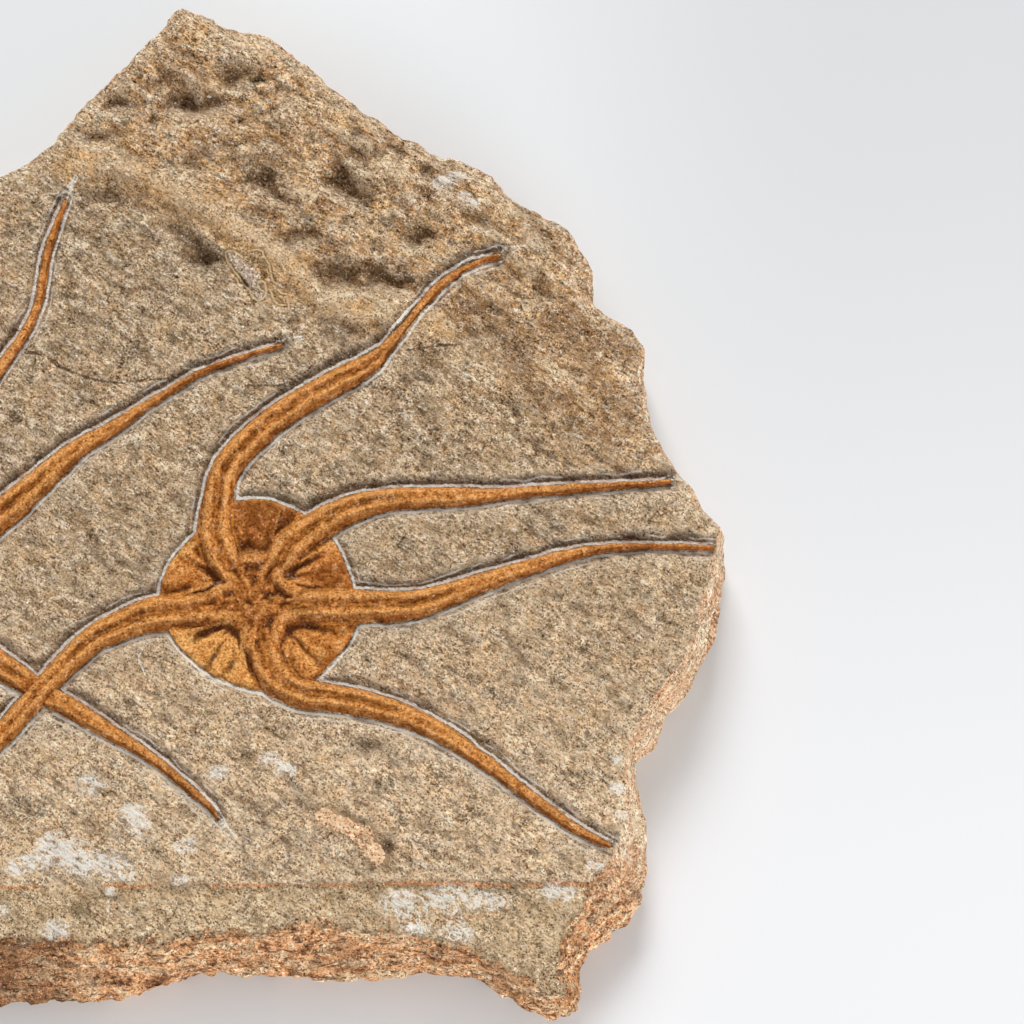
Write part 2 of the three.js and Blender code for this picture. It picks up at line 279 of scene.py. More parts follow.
# %% Routes of the arms: x, y, half width, from the mouth out to the tip
ARMS = {
    "star_1_arm_1": [
        (20.5, -19, 2.3), (18.5, -16.5, 3.3), (16.5, -12, 3.8), (15.5, -8, 3.6), (16, -1.5, 3.1),
        (17.5, 5, 2.9), (21, 9.5, 2.9), (29, 16.5, 2.7), (38.5, 22.5, 2.6), (44, 25.5, 2.4), (46.8, 27.3, 2),
        (48.8, 29.4, 1.4), (51.5, 32.5, 1.1), (60, 43, 0.9), (65.5, 47, 0.7), (72, 49.5, 0.4)],
    "star_1_arm_2": [
        (26, -18, 2.3), (28, -15, 3.3), (31, -11, 3.6), (38.5, -5.5, 3.1), (44, -3, 2.7), (51, -1.5, 2.2),
        (65, -1, 1.9), (72, -0.5, 1.2), (84.5, 0.5, 1), (106.5, 2, 0.4)],
    "star_1_arm_3": [
        (29, -23.5, 2.3), (32.5, -23.5, 3.4), (37.5, -23.5, 3.6), (50, -23.5, 3.2), (56, -23, 2.8),
        (68, -19, 2), (75, -16.5, 1.6), (84.5, -13.5, 1.3), (94.5, -11.5, 0.7), (115, -11.5, 0.4)],
    "star_1_arm_4": [
        (25, -29, 2.5), (25.5, -32, 3.6), (26.5, -35.5, 3.7), (29, -39, 3.3), (33, -41, 3), (45, -43, 2.6),
        (54.5, -46, 2.2), (62.5, -50, 1.8), (75.5, -59.5, 1.2), (87.5, -68.3, 1), (94, -71.5, 0.4)],
    "star_1_arm_5": [
        (18, -23.5, 2.3), (15, -24, 3.4), (10.5, -24.5, 3.6), (4, -25, 3.6), (-2, -27, 3.1), (-8, -30, 2.7),
        (-13, -34.5, 2.4), (-17, -39, 2.2), (-26, -49.5, 2.2), (-38.5, -62, 1.6), (-54.5, -73.5, 0.4)],
    "star_2_arm_1": [
        (-51.5, -15, 2.3), (-51, -11.5, 3.3), (-50, -6, 3.5), (-43.5, 6.5, 3), (-38.5, 14, 2.6),
        (-33, 20.5, 1.8), (-27.5, 27.5, 1.1), (-22, 37.5, 0.9), (-19.5, 52, 0.8), (-16.5, 61, 0.4)],
    "star_2_arm_2": [
        (-46.5, -18, 2.3), (-43.5, -16.5, 3.3), (-39, -13.5, 3.5), (-29, -6, 3.2), (-18, 4, 2.5),
        (-12.5, 9, 1.9), (-6, 13, 1.5), (0.5, 17.5, 1), (13.5, 25.5, 0.6), (28, 30.5, 0.4)],
    "star_2_arm_3": [
        (-46.5, -24, 2.3), (-43.5, -25.5, 3.3), (-38.5, -28, 3.4), (-27.5, -35, 2.8), (-17, -41.5, 2.1),
        (-10, -45.5, 1.8), (-3.5, -49.5, 1.4), (3, -53.5, 1), (15, -63.5, 0.6), (17, -66, 0.3)],
    "star_2_arm_4": [
        (-54, -26.2, 2.3), (-55, -29.5, 3.3), (-57, -34.5, 3.5), (-62, -47, 3), (-66.5, -53.5, 2.7),
        (-73, -59.5, 2.3), (-80.5, -64, 1.8), (-89, -67, 1.2), (-98, -68, 0.4)],
    "star_2_arm_5": [
        (-57.5, -20, 2.3), (-60.5, -19, 3.3), (-66, -18, 3.5), (-77.5, -12.5, 3), (-85.5, -6, 2.6),
        (-91.5, 0.5, 2), (-95.5, 8, 1.3), (-98, 18, 0.4)],
}

# %% Discs: middle, mouth and turn of the margin
DISCS = {
    "star_1_disc": ((24.6, -21.3), (23.6, -23.3), 0.0),
    "star_2_disc": ((-52.2, -20.2), (-51.8, -20.8), 0.6),
}
DISC_MARGIN = [
    (-5.4, 19.1), (0.6, 19.6), (8.1, 16.8), (13.9, 12), (17, 6.2), (18.6, 0.9), (19, -6.3), (15.8, -12),
    (10.9, -16.8), (0.1, -19), (-8.6, -16.2), (-17.4, -8.2), (-19.8, -0.3), (-17.8, 6.8), (-12.6, 13)]

# The jaws: between each arm and the next, clockwise, a ridge turns at this place.
JAWS = {
    "star_1": [(22.1, -13.9), (27.8, -18), (28.9, -26.7), (20.5, -26.3), (18.9, -18.9)],
    "star_2": [(-48.3, -16.6), (-46.2, -21), (-50.3, -26), (-56.2, -23.5), (-55, -17)],
}

# %% [markdown]
# ## Smooth curves and distances
# Nearly everything on this slab follows the outline of the stars: the moat, the scratched line, the pocket
# that holds each arm. So the first tools are a curve through points, and the distance of any place to an
# outline, which is negative inside it.


# %% Curve tool
def spline(points, spacing, closed=False):
    """Evenly spaced samples of a centripetal curve through the points."""
    p = np.array(points, float)
    if closed:
        p = np.vstack([p[-1], p, p[0], p[1]])
    else:
        p = np.vstack([2 * p[0] - p[1], p, 2 * p[-1] - p[-2]])
    t = np.linspace(0, 1, 60, endpoint=False)[:, None]
    fine = []
    for a, b, c, d in zip(p[:-3], p[1:-2], p[2:-1], p[3:]):
        ta, tb, tc = (max(np.linalg.norm(v), 1e-6) ** 0.5 for v in (b - a, c - b, d - c))
        leave = ((b - a) / ta - (c - a) / (ta + tb) + (c - b) / tb) * tb
        arrive = ((c - b) / tb - (d - b) / (tb + tc) + (d - c) / tc) * tb
        fine.append(b + leave * t + (3 * (c - b) - 2 * leave - arrive) * t ** 2
                    + (2 * (b - c) + leave + arrive) * t ** 3)
    fine = np.vstack(fine + [p[-2][None]])
    length = np.r_[0, np.cumsum(np.linalg.norm(np.diff(fine[:, :2], axis=0), axis=1))]
    count = max(8, round(length[-1] / spacing))
    places = np.linspace(0, length[-1], count + 1)[: count if closed else count + 1]
    return np.column_stack([np.interp(places, length, column) for column in fine.T])


class Arm:
    """The middle line of an arm in samples, with the directions along and across it."""

    def __init__(self, route, spacing=0.4):
        samples = spline(route, spacing)
        self.middle = samples[:, :2]
        self.half = samples[:, 2]
        along = np.gradient(self.middle, axis=0)
        self.along = along / np.linalg.norm(along, axis=1)[:, None]
        self.across = np.column_stack([-self.along[:, 1], self.along[:, 0]])
        self.reached = np.r_[0, np.cumsum(np.linalg.norm(np.diff(self.middle, axis=0), axis=1))]

    def at(self, reached, side):
        """A place that far along the arm, at a share of its half width to the left."""
        k = int(np.searchsorted(self.reached, reached))
        return self.middle[k] + self.across[k] * self.half[k] * side


arms = {name: Arm(route) for name, route in ARMS.items()}
print("arm lengths in mm:", {name: round(arm.reached[-1]) for name, arm in arms.items()})

# %% Distance tools
FAR = 15.0                                  # distances past this don't matter


def follow(xy, arm):
    """For places near an arm: distance to its outline, share of the half width to the left, half width and
    length reached."""
    found = np.tile([FAR, 1.0, 1.0, 0.0], (len(xy), 1))
    low = arm.middle.min(axis=0) - FAR
    high = arm.middle.max(axis=0) + FAR
    near = np.flatnonzero(((xy > low) & (xy < high)).all(axis=1))
    for part in np.array_split(near, len(near) // 8000 + 1):
        if len(part) == 0:
            continue
        to_middle = xy[part, None, :] - arm.middle[None, :, :]
        nearest = (np.hypot(to_middle[..., 0], to_middle[..., 1]) - arm.half[None, :]).argmin(axis=1)
        offset = xy[part] - arm.middle[nearest]
        sideways = (offset * arm.across[nearest]).sum(axis=1)
        ahead = (offset * arm.along[nearest]).sum(axis=1)
        half = arm.half[nearest]
        apart = np.hypot(sideways, np.maximum(0, np.abs(ahead) - 0.25)) - half
        found[part] = np.column_stack([apart, sideways / half, half, arm.reached[nearest] + ahead])
    found[:, 0] = np.minimum(found[:, 0], FAR)
    return found.T


def turned(ring, turn):
    return ring @ np.array([[math.cos(turn), math.sin(turn)], [-math.sin(turn), math.cos(turn)]])


def margin_of(disc, grow=0.0):
    """Points round the margin of a disc, grown outward."""
    middle, _, turn = DISCS[disc]
    ring = spline(DISC_MARGIN, 0.4, closed=True)
    return turned(ring * (1 + grow / np.linalg.norm(ring, axis=1))[:, None], turn) + np.array(middle)


def polar(xy):
    return np.arctan2(xy[:, 1], xy[:, 0]), np.hypot(xy[:, 0], xy[:, 1])


def outside(xy, ring, middle=(0, 0)):
    """How far places lie outside a ring of points round a middle, negative inside."""
    angle, radius = polar(xy - middle)
    ring_angle, ring_radius = polar(ring - middle)
    return radius - np.interp(angle, ring_angle, ring_radius, period=2 * math.pi)


def distance_to_disc(xy, disc):
    """Distance from places to the margin of a disc, negative inside."""
    return outside(xy, margin_of(disc), np.array(DISCS[disc][0]))


def distance_to(xy, star=""):
    """Distance to the outline of one star, or to the nearest of both, negative inside."""
    result = np.full(len(xy), FAR)
    for name, arm in arms.items():
        if name.startswith(star):
            result = np.minimum(result, follow(xy, arm)[0])
    for disc in DISCS:
        if disc.startswith(star):
            result = np.minimum(result, distance_to_disc(xy, disc))
    return result


def distance_to_line(xy, line):
    """Distance from places to an open line."""
    line = np.array(line, float)
    best = np.full(len(xy), FAR)
    for start, end in zip(line[:-1], line[1:]):
        step = end - start
        share = np.clip(((xy - start) @ step) / (step @ step), 0, 1)
        best = np.minimum(best, np.linalg.norm(xy - start - share[:, None] * step, axis=1))
    return best


# %% Noise tools
def smooth(low, high, value):
    """0 at low, 1 at high, smooth between; low may be the larger."""
    t = np.clip((value - low) / (high - low), 0, 1)
    return t * t * (3 - 2 * t)


def rough(points, size, octaves=3, seed=0.0):
    """Fractal noise, about -1 to 1, whose largest waves are that many mm wide."""
    shift = Vector((seed * 17.3, seed * 5.7, seed * 9.1))
    spots = np.column_stack([points, np.zeros(len(points))]) if points.shape[1] == 2 else points
    return np.array([noise.fractal(Vector(p) + shift, 1.0, 2.0, octaves) for p in (spots / size).tolist()])


def warp(xy):
    """Shakes places a little, so that no outline stays as even as a drawn curve."""
    coarse = [0.16 * rough(xy, 5, 2, seed) for seed in (31, 32)]
    fine = [0.07 * rough(xy, 1.6, 2, seed) for seed in (33, 34)]
    return xy + np.column_stack(coarse) + np.column_stack(fine)


# %% Mesh tools
def mesh_object(name, points, faces):
    """A new object from points in mm, active and alone in the selection."""
    mesh = bpy.data.meshes.new(name)
    mesh.from_pydata((np.asarray(points) * MM).tolist(), [], faces)
    piece = bpy.data.objects.new(name, mesh)
    scene.collection.objects.link(piece)
    bpy.ops.object.select_all(action="DESELECT")
    bpy.context.view_layer.objects.active = piece
    piece.select_set(True)
    return piece


def points_of(piece):
    """The points of a piece, in mm."""
    flat = np.empty(len(piece.data.vertices) * 3)
    piece.data.vertices.foreach_get("co", flat)
    return flat.reshape(-1, 3) / MM


def place_points(piece, points):
    piece.data.vertices.foreach_set("co", (points * MM).ravel())
    piece.data.update()


def carry(piece, **values):
    """Stores a number for each point, which the paint can read as a mask."""
    for name, numbers in values.items():
        layer = piece.data.attributes.new(name, "FLOAT", "POINT")
        layer.data.foreach_set("value", np.asarray(numbers, np.float32))


def hollows(piece, rounds):
    """How far each point lies below the surface around it, in mm; more rounds look further around. The paints
    turn it into painted shade in the hollows and painted highlight on the crests.
    """
    ends = np.empty(2 * len(piece.data.edges), np.int32)
    piece.data.edges.foreach_get("vertices", ends)
    a, b = ends.reshape(-1, 2).T
    height = points_of(piece)[:, 2]
    size = len(height)
    touching = np.bincount(a, minlength=size) + np.bincount(b, minlength=size)
    around = height.copy()
    for _ in range(rounds):
        beside = np.bincount(a, around[b], size) + np.bincount(b, around[a], size)
        around = 0.4 * around + 0.6 * beside / np.maximum(touching, 1)
    return around - height


def facing(piece, count):
    """How far each of the first points faces the lamp beyond the pointed end, -1 to 1; 0 for the rest. The
    paints turn it into painted shade and painted highlight.
    """
    flat = np.empty(len(piece.data.vertices) * 3)
    piece.data.vertex_normals.foreach_get("vector", flat)
    return np.where(np.arange(len(flat) // 3) < count, flat[1::3], 0)


def encloses(loop, xy):
    """Which places lie inside a closed loop, by counting the edges that a line to the right crosses."""
    (x1, y1), (x2, y2) = loop.T[:, :, None], np.roll(loop, -1, axis=0).T[:, :, None]
    spans = (y1 > xy[:, 1]) != (y2 > xy[:, 1])
    reach = x1 + (xy[:, 1] - y1) * (x2 - x1) / np.where(spans, y2 - y1, 1)
    return (spans & (reach > xy[:, 0])).sum(axis=0) % 2 == 1


def triangles_over(inner, loop, merge=0.03):
    """Triangles spun between points, inside a closed loop of points, whose own points come first."""
    count = len(loop)
    spots = [Vector(p) for p in np.vstack([loop, inner]).tolist()]
    ring = [(k, (k + 1) % count) for k in range(count)]
    found, _, triangles = geometry.delaunay_2d_cdt(spots, ring, [], 0, merge, False)[:3]
    found, triangles = np.array([tuple(p) for p in found]), np.array(triangles)
    outer = np.flatnonzero((triangles < count).all(axis=1))
    keep = np.ones(len(triangles), bool)
    keep[outer] = encloses(loop, found[triangles[outer]].mean(axis=1))
    used, renamed = np.unique(triangles[keep], return_inverse=True)
    return found[used], renamed.reshape(-1, 3).tolist()


def honeycomb(low, high, spacing, shake, rng):
    """A shaken triangular grid over a rectangle."""
    x, y = np.meshgrid(np.arange(low[0], high[0], spacing), np.arange(low[1], high[1], spacing * 0.866))
    x[1::2] += spacing / 2
    xy = np.column_stack([x.ravel(), y.ravel()])
    return xy + rng.uniform(-shake, shake, xy.shape) * spacing


def outline_rows(distances, spacing, star=""):
    """Rows of points along the outlines, each row at its own distance from them."""
    found = []
    for distance in distances:
        rows = [margin_of(disc, distance) for disc in DISCS if disc.startswith(star)]
        for name, route in ARMS.items():
            if not name.startswith(star):
                continue
            arm = Arm(route, spacing)
            reach = (arm.half + distance)[:, None]
            rows += [arm.middle + arm.across * reach, arm.middle - arm.across * reach]
            if arm.half[-1] + distance > 0.1:
                turn = np.linspace(-1.3, 1.3, 7)[:, None]
                cap = arm.along[-1] * np.cos(turn) + arm.across[-1] * np.sin(turn)
                rows.append(arm.middle[-1] + cap * (arm.half[-1] + distance))
        rows = np.vstack(rows)
        found.append(rows[np.abs(distance_to(rows, star) - distance) < 0.06])
    return np.vstack(found)


# %% [markdown]
# ## The outline of the slab
# The slab is a broken stone. Its outline is written down where it is widest, some way below the face. From
# there the side slopes in to the face over a shelf of its own width, and draws in a little towards the
# underside.

# %% Edge of the slab at its widest, clockwise from the apex: x, y, shelf
OUTLINE = [
    (6.3, 103.8, 0.4), (10, 102.7, 0.4), (13, 101.6, 0.4), (16.3, 99.6, 0.4), (19.8, 98.4, 0.4),
    (23.3, 97.6, 0.4), (26, 95.8, 0.4), (29.5, 92.6, 0.4), (32.3, 91.4, 0.5), (35, 89, 0.5),
    (38, 86.7, 0.5), (40.7, 84.1, 0.5), (43.4, 82, 0.5), (46.2, 80.1, 0.5), (49, 78, 0.5),
    (52.8, 75.7, 0.5), (55, 74.2, 0.5), (57.5, 72.6, 0.5), (60.8, 71.4, 0.5), (63.2, 71, 0.5),
    (65.8, 69.9, 0.5), (69.5, 66.9, 0.5), (72, 64.7, 0.5), (74.8, 62.5, 0.5), (78, 60.6, 0.5),
    (81.5, 58.6, 0.5), (84.2, 57, 0.5), (86.3, 55.9, 0.5), (87.5, 54.1, 0.5), (88.2, 51.5, 0.6),
    (90, 49.2, 0.6), (91, 46.2, 0.6), (91.1, 43.4, 0.6), (91.3, 40.7, 0.6), (92, 39, 0.6), (95, 36.6, 0.6),
    (97.6, 35.3, 0.7), (100.3, 33.4, 0.7), (101.8, 30.8, 0.7), (101.5, 28.3, 0.7), (101.2, 25.5, 0.7),
    (101.6, 22, 0.8), (102, 18.6, 0.8), (102.8, 15.9, 0.9), (104.1, 12.5, 0.9), (105.2, 9.7, 1),
    (107.9, 6.2, 1), (109.6, 4.1, 1.1), (111, 1.5, 1.1), (112, 0, 1.2), (113.3, -2.8, 1.2),
    (115.7, -4.9, 1.2), (117.3, -7, 1.3), (117.5, -9.3, 1.5), (118, -14.8, 2.2), (117, -18, 2.4),
    (116.2, -21.7, 2.6), (115.2, -25.1, 2.8), (114.6, -28.5, 3), (113.6, -31.6, 3.3), (112.3, -35, 3.4),
    (110.2, -38.1, 3.4), (107.8, -41.5, 3.4), (105.6, -43.5, 3.2), (104.8, -46.3, 3.3), (103.8, -48.7, 3.8),
    (102.4, -50.7, 4), (100.4, -51.6, 3), (99, -53.2, 1.8), (99.7, -55.9, 2.3), (100, -58.7, 2.8),
    (100.2, -62.1, 3.2), (101, -64.3, 4), (101.5, -69.5, 5.2), (101.1, -73, 6.2), (101.2, -76.5, 7.4),
    (100, -80.4, 8), (98.2, -82.6, 8), (97.4, -85, 7.6), (95, -86.4, 7), (93.6, -88.5, 6.4),
    (90.5, -90.5, 5.4), (88.4, -93, 4), (87.8, -96.3, 3), (88.1, -99.1, 2.4), (87.4, -102, 2.2),
    (85.4, -103.5, 2), (81.6, -103.4, 2), (78.9, -102, 2), (76.2, -100.5, 2.2), (72.4, -99, 2.3),
    (70, -97.2, 2.4), (67.5, -95.6, 2.6), (64, -95, 3), (61, -94.8, 3.6), (57.3, -94.5, 4.5),
    (53.3, -94.7, 5.5), (49.3, -95.5, 6.5), (45, -96, 7.3), (39, -95.8, 7.5), (33, -95.5, 7.5),
    (27.5, -95.5, 6.5), (20.4, -95.1, 5.5), (17, -94.6, 5), (12.5, -94.8, 4.6), (10.7, -94.9, 4.8),
    (9.3, -96.6, 5.8), (6.5, -97.3, 6.5), (3.9, -97.9, 7), (0, -99, 7.8), (-4.2, -99.6, 8.6),
    (-6.6, -100.7, 9), (-10.5, -100.5, 9.4), (-17.7, -100.4, 10), (-24.3, -100.5, 10), (-30, -100.3, 10),
    (-36, -99, 9), (-42, -98, 8), (-49.5, -99.6, 7.6), (-57, -100.5, 7), (-64.5, -99.4, 6.5),
    (-72, -97.5, 6), (-79.5, -96.2, 5.5), (-87, -94, 5), (-93, -90.4, 4.8), (-98, -86, 4.5),
    (-101, -81, 4.2), (-103, -75.5, 4), (-106.6, -70.5, 4), (-109.5, -65, 4), (-110.8, -58, 3.5),
    (-111, -51, 3), (-110.3, -45.5, 2.7), (-110, -40, 2.4), (-112.8, -34, 2.4), (-115, -28, 2.4),
    (-117, -21.5, 2.2), (-118, -15, 2), (-117.4, -9, 1.8), (-116, -3, 1.6), (-112.6, 1.8, 1.5),
    (-110, 6, 1.4), (-109.4, 11.5, 1.3), (-108, 17, 1.2), (-104.8, 22.3, 1.1), (-101, 27, 1),
    (-95.5, 30.8, 0.9), (-90, 34, 0.8), (-84, 36.5, 0.8), (-79, 39.5, 0.7), (-72.2, 43.3, 0.7),
    (-66, 48, 0.6), (-58.7, 50.2, 0.6), (-52, 53, 0.6), (-46.8, 56.5, 0.6), (-41, 59, 0.5),
    (-36, 62.8, 0.5), (-31.6, 65.7, 0.5), (-28, 67.9, 0.5), (-24.6, 70, 0.5), (-21.8, 72.2, 0.5),
    (-19.3, 74.9, 0.5), (-17.6, 77.8, 0.5), (-15.4, 81.2, 0.5), (-13.5, 82.8, 0.5), (-10.7, 85.3, 0.5),
    (-8.2, 87.8, 0.5), (-7.6, 89, 0.4), (-5.8, 90.9, 0.4), (-3.8, 93, 0.4), (-1, 95.2, 0.4),
    (1.8, 98.1, 0.4), (3.1, 100.6, 0.4), (4.2, 102.7, 0.4)]

# Levels of the broken side: share of the face's height, share of the shelf, and mm further in
LEVELS = [(0, 0.1, 1.8), (0.18, 0, 0.5), (0.42, 0, 0), (0.58, 0.2, 0.1), (0.78, 0.55, 0), (1, 1, 0)]

# %% Sample the edge
RIM_SPACING = 0.8
NORMAL_WINDOW = 6                           # samples to either side that the inward direction is taken from


def edge_samples():
    """Places round the widest edge, the shelf there, and the direction inwards."""
    corners = np.array(OUTLINE)
    steps = np.linalg.norm(np.diff(corners[:, :2], axis=0, append=corners[:1, :2]), axis=1)
    length = np.r_[0, np.cumsum(steps)]
    places = np.linspace(0, length[-1], round(length[-1] / RIM_SPACING), endpoint=False)
    around = [np.interp(places, length, np.r_[column, column[0]]) for column in corners.T]
    edge = np.column_stack(around[:2])
    chord = np.roll(edge, -NORMAL_WINDOW, axis=0) - np.roll(edge, NORMAL_WINDOW, axis=0)
    chord /= np.linalg.norm(chord, axis=1)[:, None]
    return edge, around[2], np.column_stack([chord[:, 1], -chord[:, 0]])


edge, shelf, inward = edge_samples()
rim = edge + inward * shelf[:, None]
rim_knots = kdtree.KDTree(len(rim))
for k, (x, y) in enumerate(rim):
    rim_knots.insert((x, y, 0), k)
rim_knots.balance()
print("points round the rim:", len(rim))


def to_the_rim(xy):
    """Distance from places to the nearest point of the rim."""
    return np.array([rim_knots.find((x, y, 0))[2] for x, y in xy.tolist()])


# %% [markdown]
# ## The sheet of the face
# A plain grid would cut the outlines of the stars into steps. Instead the points of the face are laid one by
# one: rows of points run along every outline, where the moat and the pocket need them, a loose grid fills
# the rest, and triangles are spun between them.

# %% Lines on the face
CRACKS = [
    [(-23.5, 29), (-20, 28.5), (-15.5, 25.5), (-12, 24), (-8.5, 23), (-4, 22.5), (-0.5, 23), (5, 23.5),
     (7.5, 24)],
    [(21, 22), (28, 22), (32, 23.5), (35, 27)],
    [(54, 29.5), (57.5, 30), (62, 30.5), (65, 30.5)]]
SCRATCHES = [
    [(71.5, 49.5), (74.5, 51), (79, 51.5)], [(-16.5, 61), (-14.5, 67)], [(-15.5, 63.5), (-14, 66)],
    [(106.5, 2.5), (109.5, 3.5)], [(17, -65.5), (21, -70)],
    [(1.5, -32.5), (0.8, -34), (1.6, -36), (2.2, -37.5)]]
SHELL_CORE = [(18, 49), (19.7, 47.4), (21.6, 45.4), (22.9, 43), (23.6, 41)]
SHELLS = [
    [(20.1, 48.8), (19.1, 49.7), (18, 50.3), (17, 50.4), (16.4, 50), (16.7, 48.7), (17.7, 47.1), (18.6, 45.8),
     (19.5, 44.7), (20.5, 43.4), (21.5, 42.3), (21.8, 41.4), (22.2, 40.7), (22.9, 40), (23.5, 39.8),
     (24.2, 40.2), (24.9, 40.9), (25, 42.2), (24.7, 43.3), (24, 44.1), (23.2, 43.8), (23.2, 42.9),
     (23.8, 42)],
    [(21.1, 50), (22.2, 50.3), (23.4, 50.3), (24.1, 50), (24.3, 49), (24.9, 48.1), (25.5, 47.3), (25.8, 45.7),
     (26.1, 44.4), (26.5, 43.6), (27.2, 43.2)],
    [(25.7, 42), (26.2, 41), (26.4, 40), (27.1, 39.3), (27.9, 38.9), (29, 38.9)],
    [(27.3, 42), (28.2, 41.3), (29, 41.2)]]


def tip_scratches():
    """Where an arm ends, the needle ran on: two short strokes that close beyond the tip."""
    strokes = []
    for arm in arms.values():
        tip, ahead, left = arm.middle[-1], arm.along[-1], arm.across[-1]
        for side in (-1, 1):
            places = ((-0.6, 1.1), (1.5, 0.9), (4.6, 0.3))
            strokes.append([tuple(tip + ahead * a + left * side * b) for a, b in places])
    return strokes


SCRATCHES += tip_scratches()


def beside(line):
    """Three rows of points along a line."""
    middle = Arm([(x, y, 1) for x, y in line], 0.45)
    return np.vstack([middle.middle + middle.across * d for d in (-0.3, 0, 0.3)])


# %% Lay the points
LOW, HIGH = (-120, -106), (120, 106)        # corners of the rectangle that the loose grids fill
FACE_SPACING = 0.88
SEED = 7
rng = np.random.default_rng(SEED)
ROW_DISTANCES = [-0.42, -0.14, 0.14, 0.42, 0.74, 1.15, 1.75]
rows = outline_rows(ROW_DISTANCES, 0.5)
lines = CRACKS + SCRATCHES + SHELLS
extra = np.vstack([beside(line) for line in lines])
rows = np.vstack([rows, extra[distance_to(extra) > 2]])


def inside_rim(xy, inset):
    """The places that lie inside the rim by more than the inset."""
    xy = xy[outside(xy, rim) < 0]
    return xy[to_the_rim(xy) > inset]


grid = inside_rim(honeycomb(LOW, HIGH, FACE_SPACING, 0.2, rng), 0.6)
apart = distance_to(grid)
lone = rng.random(len(grid)) < 0.15
line_gap = np.min([distance_to_line(grid, line) for line in lines], axis=0)
grid = grid[((apart > ROW_DISTANCES[-1] + 0.5) & (line_gap > 0.6)) | ((apart < -1.1) & lone)]
face_xy, face_triangles = triangles_over(np.vstack([inside_rim(rows, 0.45), grid]), rim)
print("face:", len(face_xy), "points,", len(face_triangles), "triangles")

# %% [markdown]
# ## The shape of the face
# The lower part of the face was scraped flat down to the layer with the stars. The upper part is still as
# the weather left it, lumpy and a little higher. Round the stars the scraping went deeper, in a moat that
# ends in a thin scratched groove. Near the lower edge the face steps down to the next layer.

# %% Forms and tones of the weathered part: x, y, half length, half width, turn, height or tone
RELIEF = [
    (7.2, 82.6, 3.4, 2.8, 0, -2.4), (2.5, 88, 2.3, 1.8, 0, -1.2), (16.3, 88, 2.4, 1.8, 0, -1.4),
    (23.1, 88.3, 1.5, 0.9, 0, -1.2), (27.2, 86, 1.3, 0.9, 0, -0.9), (-6.1, 83.4, 2.8, 1.8, 20, -1.5),
    (-10.9, 75.6, 2.8, 1.5, 0, -1.1), (12.6, 83, 2.1, 2, 0, -1.3), (0.8, 79.6, 1, 1, 0, -1),
    (19.2, 79.3, 1.3, 0.8, 0, -0.9), (9.7, 70, 2.8, 1.7, 0, -1.1), (24.6, 65.2, 5.2, 2.3, -38, -2),
    (40.2, 65.4, 3.9, 2, -42, -2.2), (24, 59.2, 4, 2, -10, -1), (30.6, 54, 3.7, 1.7, -5, -1.4),
    (41.6, 57.4, 2, 1.3, 0, -1), (6, 55, 2.7, 1.7, -30, -0.9), (11.8, 49.6, 3.6, 3, -35, -2.2),
    (51.3, 45, 4.6, 1.9, -15, -2.2), (40, 45.5, 5.2, 3.4, -15, -1.6), (56, 54, 3.8, 1.9, 0, -1.2),
    (51.3, 73, 2.8, 1.7, -30, -1.4), (-7.5, 62.5, 2.8, 1.4, -10, -0.9), (57.5, 68.3, 1.5, 1.1, 0, -0.9),
    (34, 76, 2.2, 1.2, -20, -0.8), (68, 58, 3.4, 1.8, -30, -0.9), (74, 47, 3.4, 1.8, -30, -0.9),
    (18, 92.5, 6, 2, -8, 0.9), (27.7, 79.3, 4.5, 1.8, 5, 1), (22.5, 72, 3.6, 1.4, 0, 0.9),
    (44, 66.5, 3.6, 1.6, -25, 1.8), (43.6, 73.6, 2.8, 1.4, -20, 1.1), (50.5, 67.8, 4.6, 2, -28, 1.1),
    (-5.5, 67.6, 4.6, 2.2, -8, 0.8), (13.2, 53.4, 3.2, 1.2, -42, 1.4), (37.8, 54, 2.6, 1.4, -20, 1),
    (50.5, 58.5, 2.6, 1.4, 0, 0.8), (41, 50.6, 3.4, 1.3, 0, 1.1), (42, 36.6, 3.2, 1.3, -10, 0.6),
    (62, 62, 4, 1.6, -35, 0.9), (66, 50, 4, 1.6, -30, 0.8), (80, 52, 3, 1.6, -35, 0.8),
    (18.6, 48.8, 1.3, 1.1, 0, 0.8), (21.7, 47.6, 1.3, 1.1, 0, 0.7), (20.8, 44.8, 1.4, 0.9, -50, -1.2)]
ZONES = [
    (6, 83, 11, 4.5, -5, -0.9), (-7, 79, 5, 4, 50, -0.5), (12, 72, 6, 3, -5, -0.5),
    (25, 64, 8, 3.6, -38, -0.8), (40, 63, 7, 3.6, -35, -0.8), (29, 54.5, 7, 2.6, -10, -0.6),
    (45, 45, 10, 4, -12, -0.9), (10.5, 50, 6, 4.5, -40, -0.8), (55, 54, 8, 3, -5, -0.6),
    (51, 73, 5, 3, -30, -0.5), (70, 47, 7, 3, -30, -0.5), (17, 94, 9, 3.6, -10, 0.7),
    (29, 80, 7, 2.6, 0, 0.7), (46, 67, 9, 2.6, -30, 0.8), (39, 76, 9, 2, -35, 0.5),
    (-6, 67.5, 6, 2.6, -8, 0.8), (10, 61, 8, 3.2, -25, 1), (24, 51, 8, 2.6, -40, 0.9),
    (37, 41, 7, 2.6, -35, 0.9), (56, 61, 6, 3, -20, 0.5), (50, 38, 6, 3, 0, 0.6), (22, 72, 4, 2, 0, 0.5),
    (72, 60, 8, 2.4, -40, 0.5), (84, 44, 8, 2.4, -45, 0.4)]
RAMP = [(-15, 68.5), (-6, 67.5), (1, 65), (8, 61), (14, 57.5), (19, 53.5), (25, 50), (31, 46.5), (36, 41.5),
        (42, 37.8), (50, 35.8), (60, 34.5)]

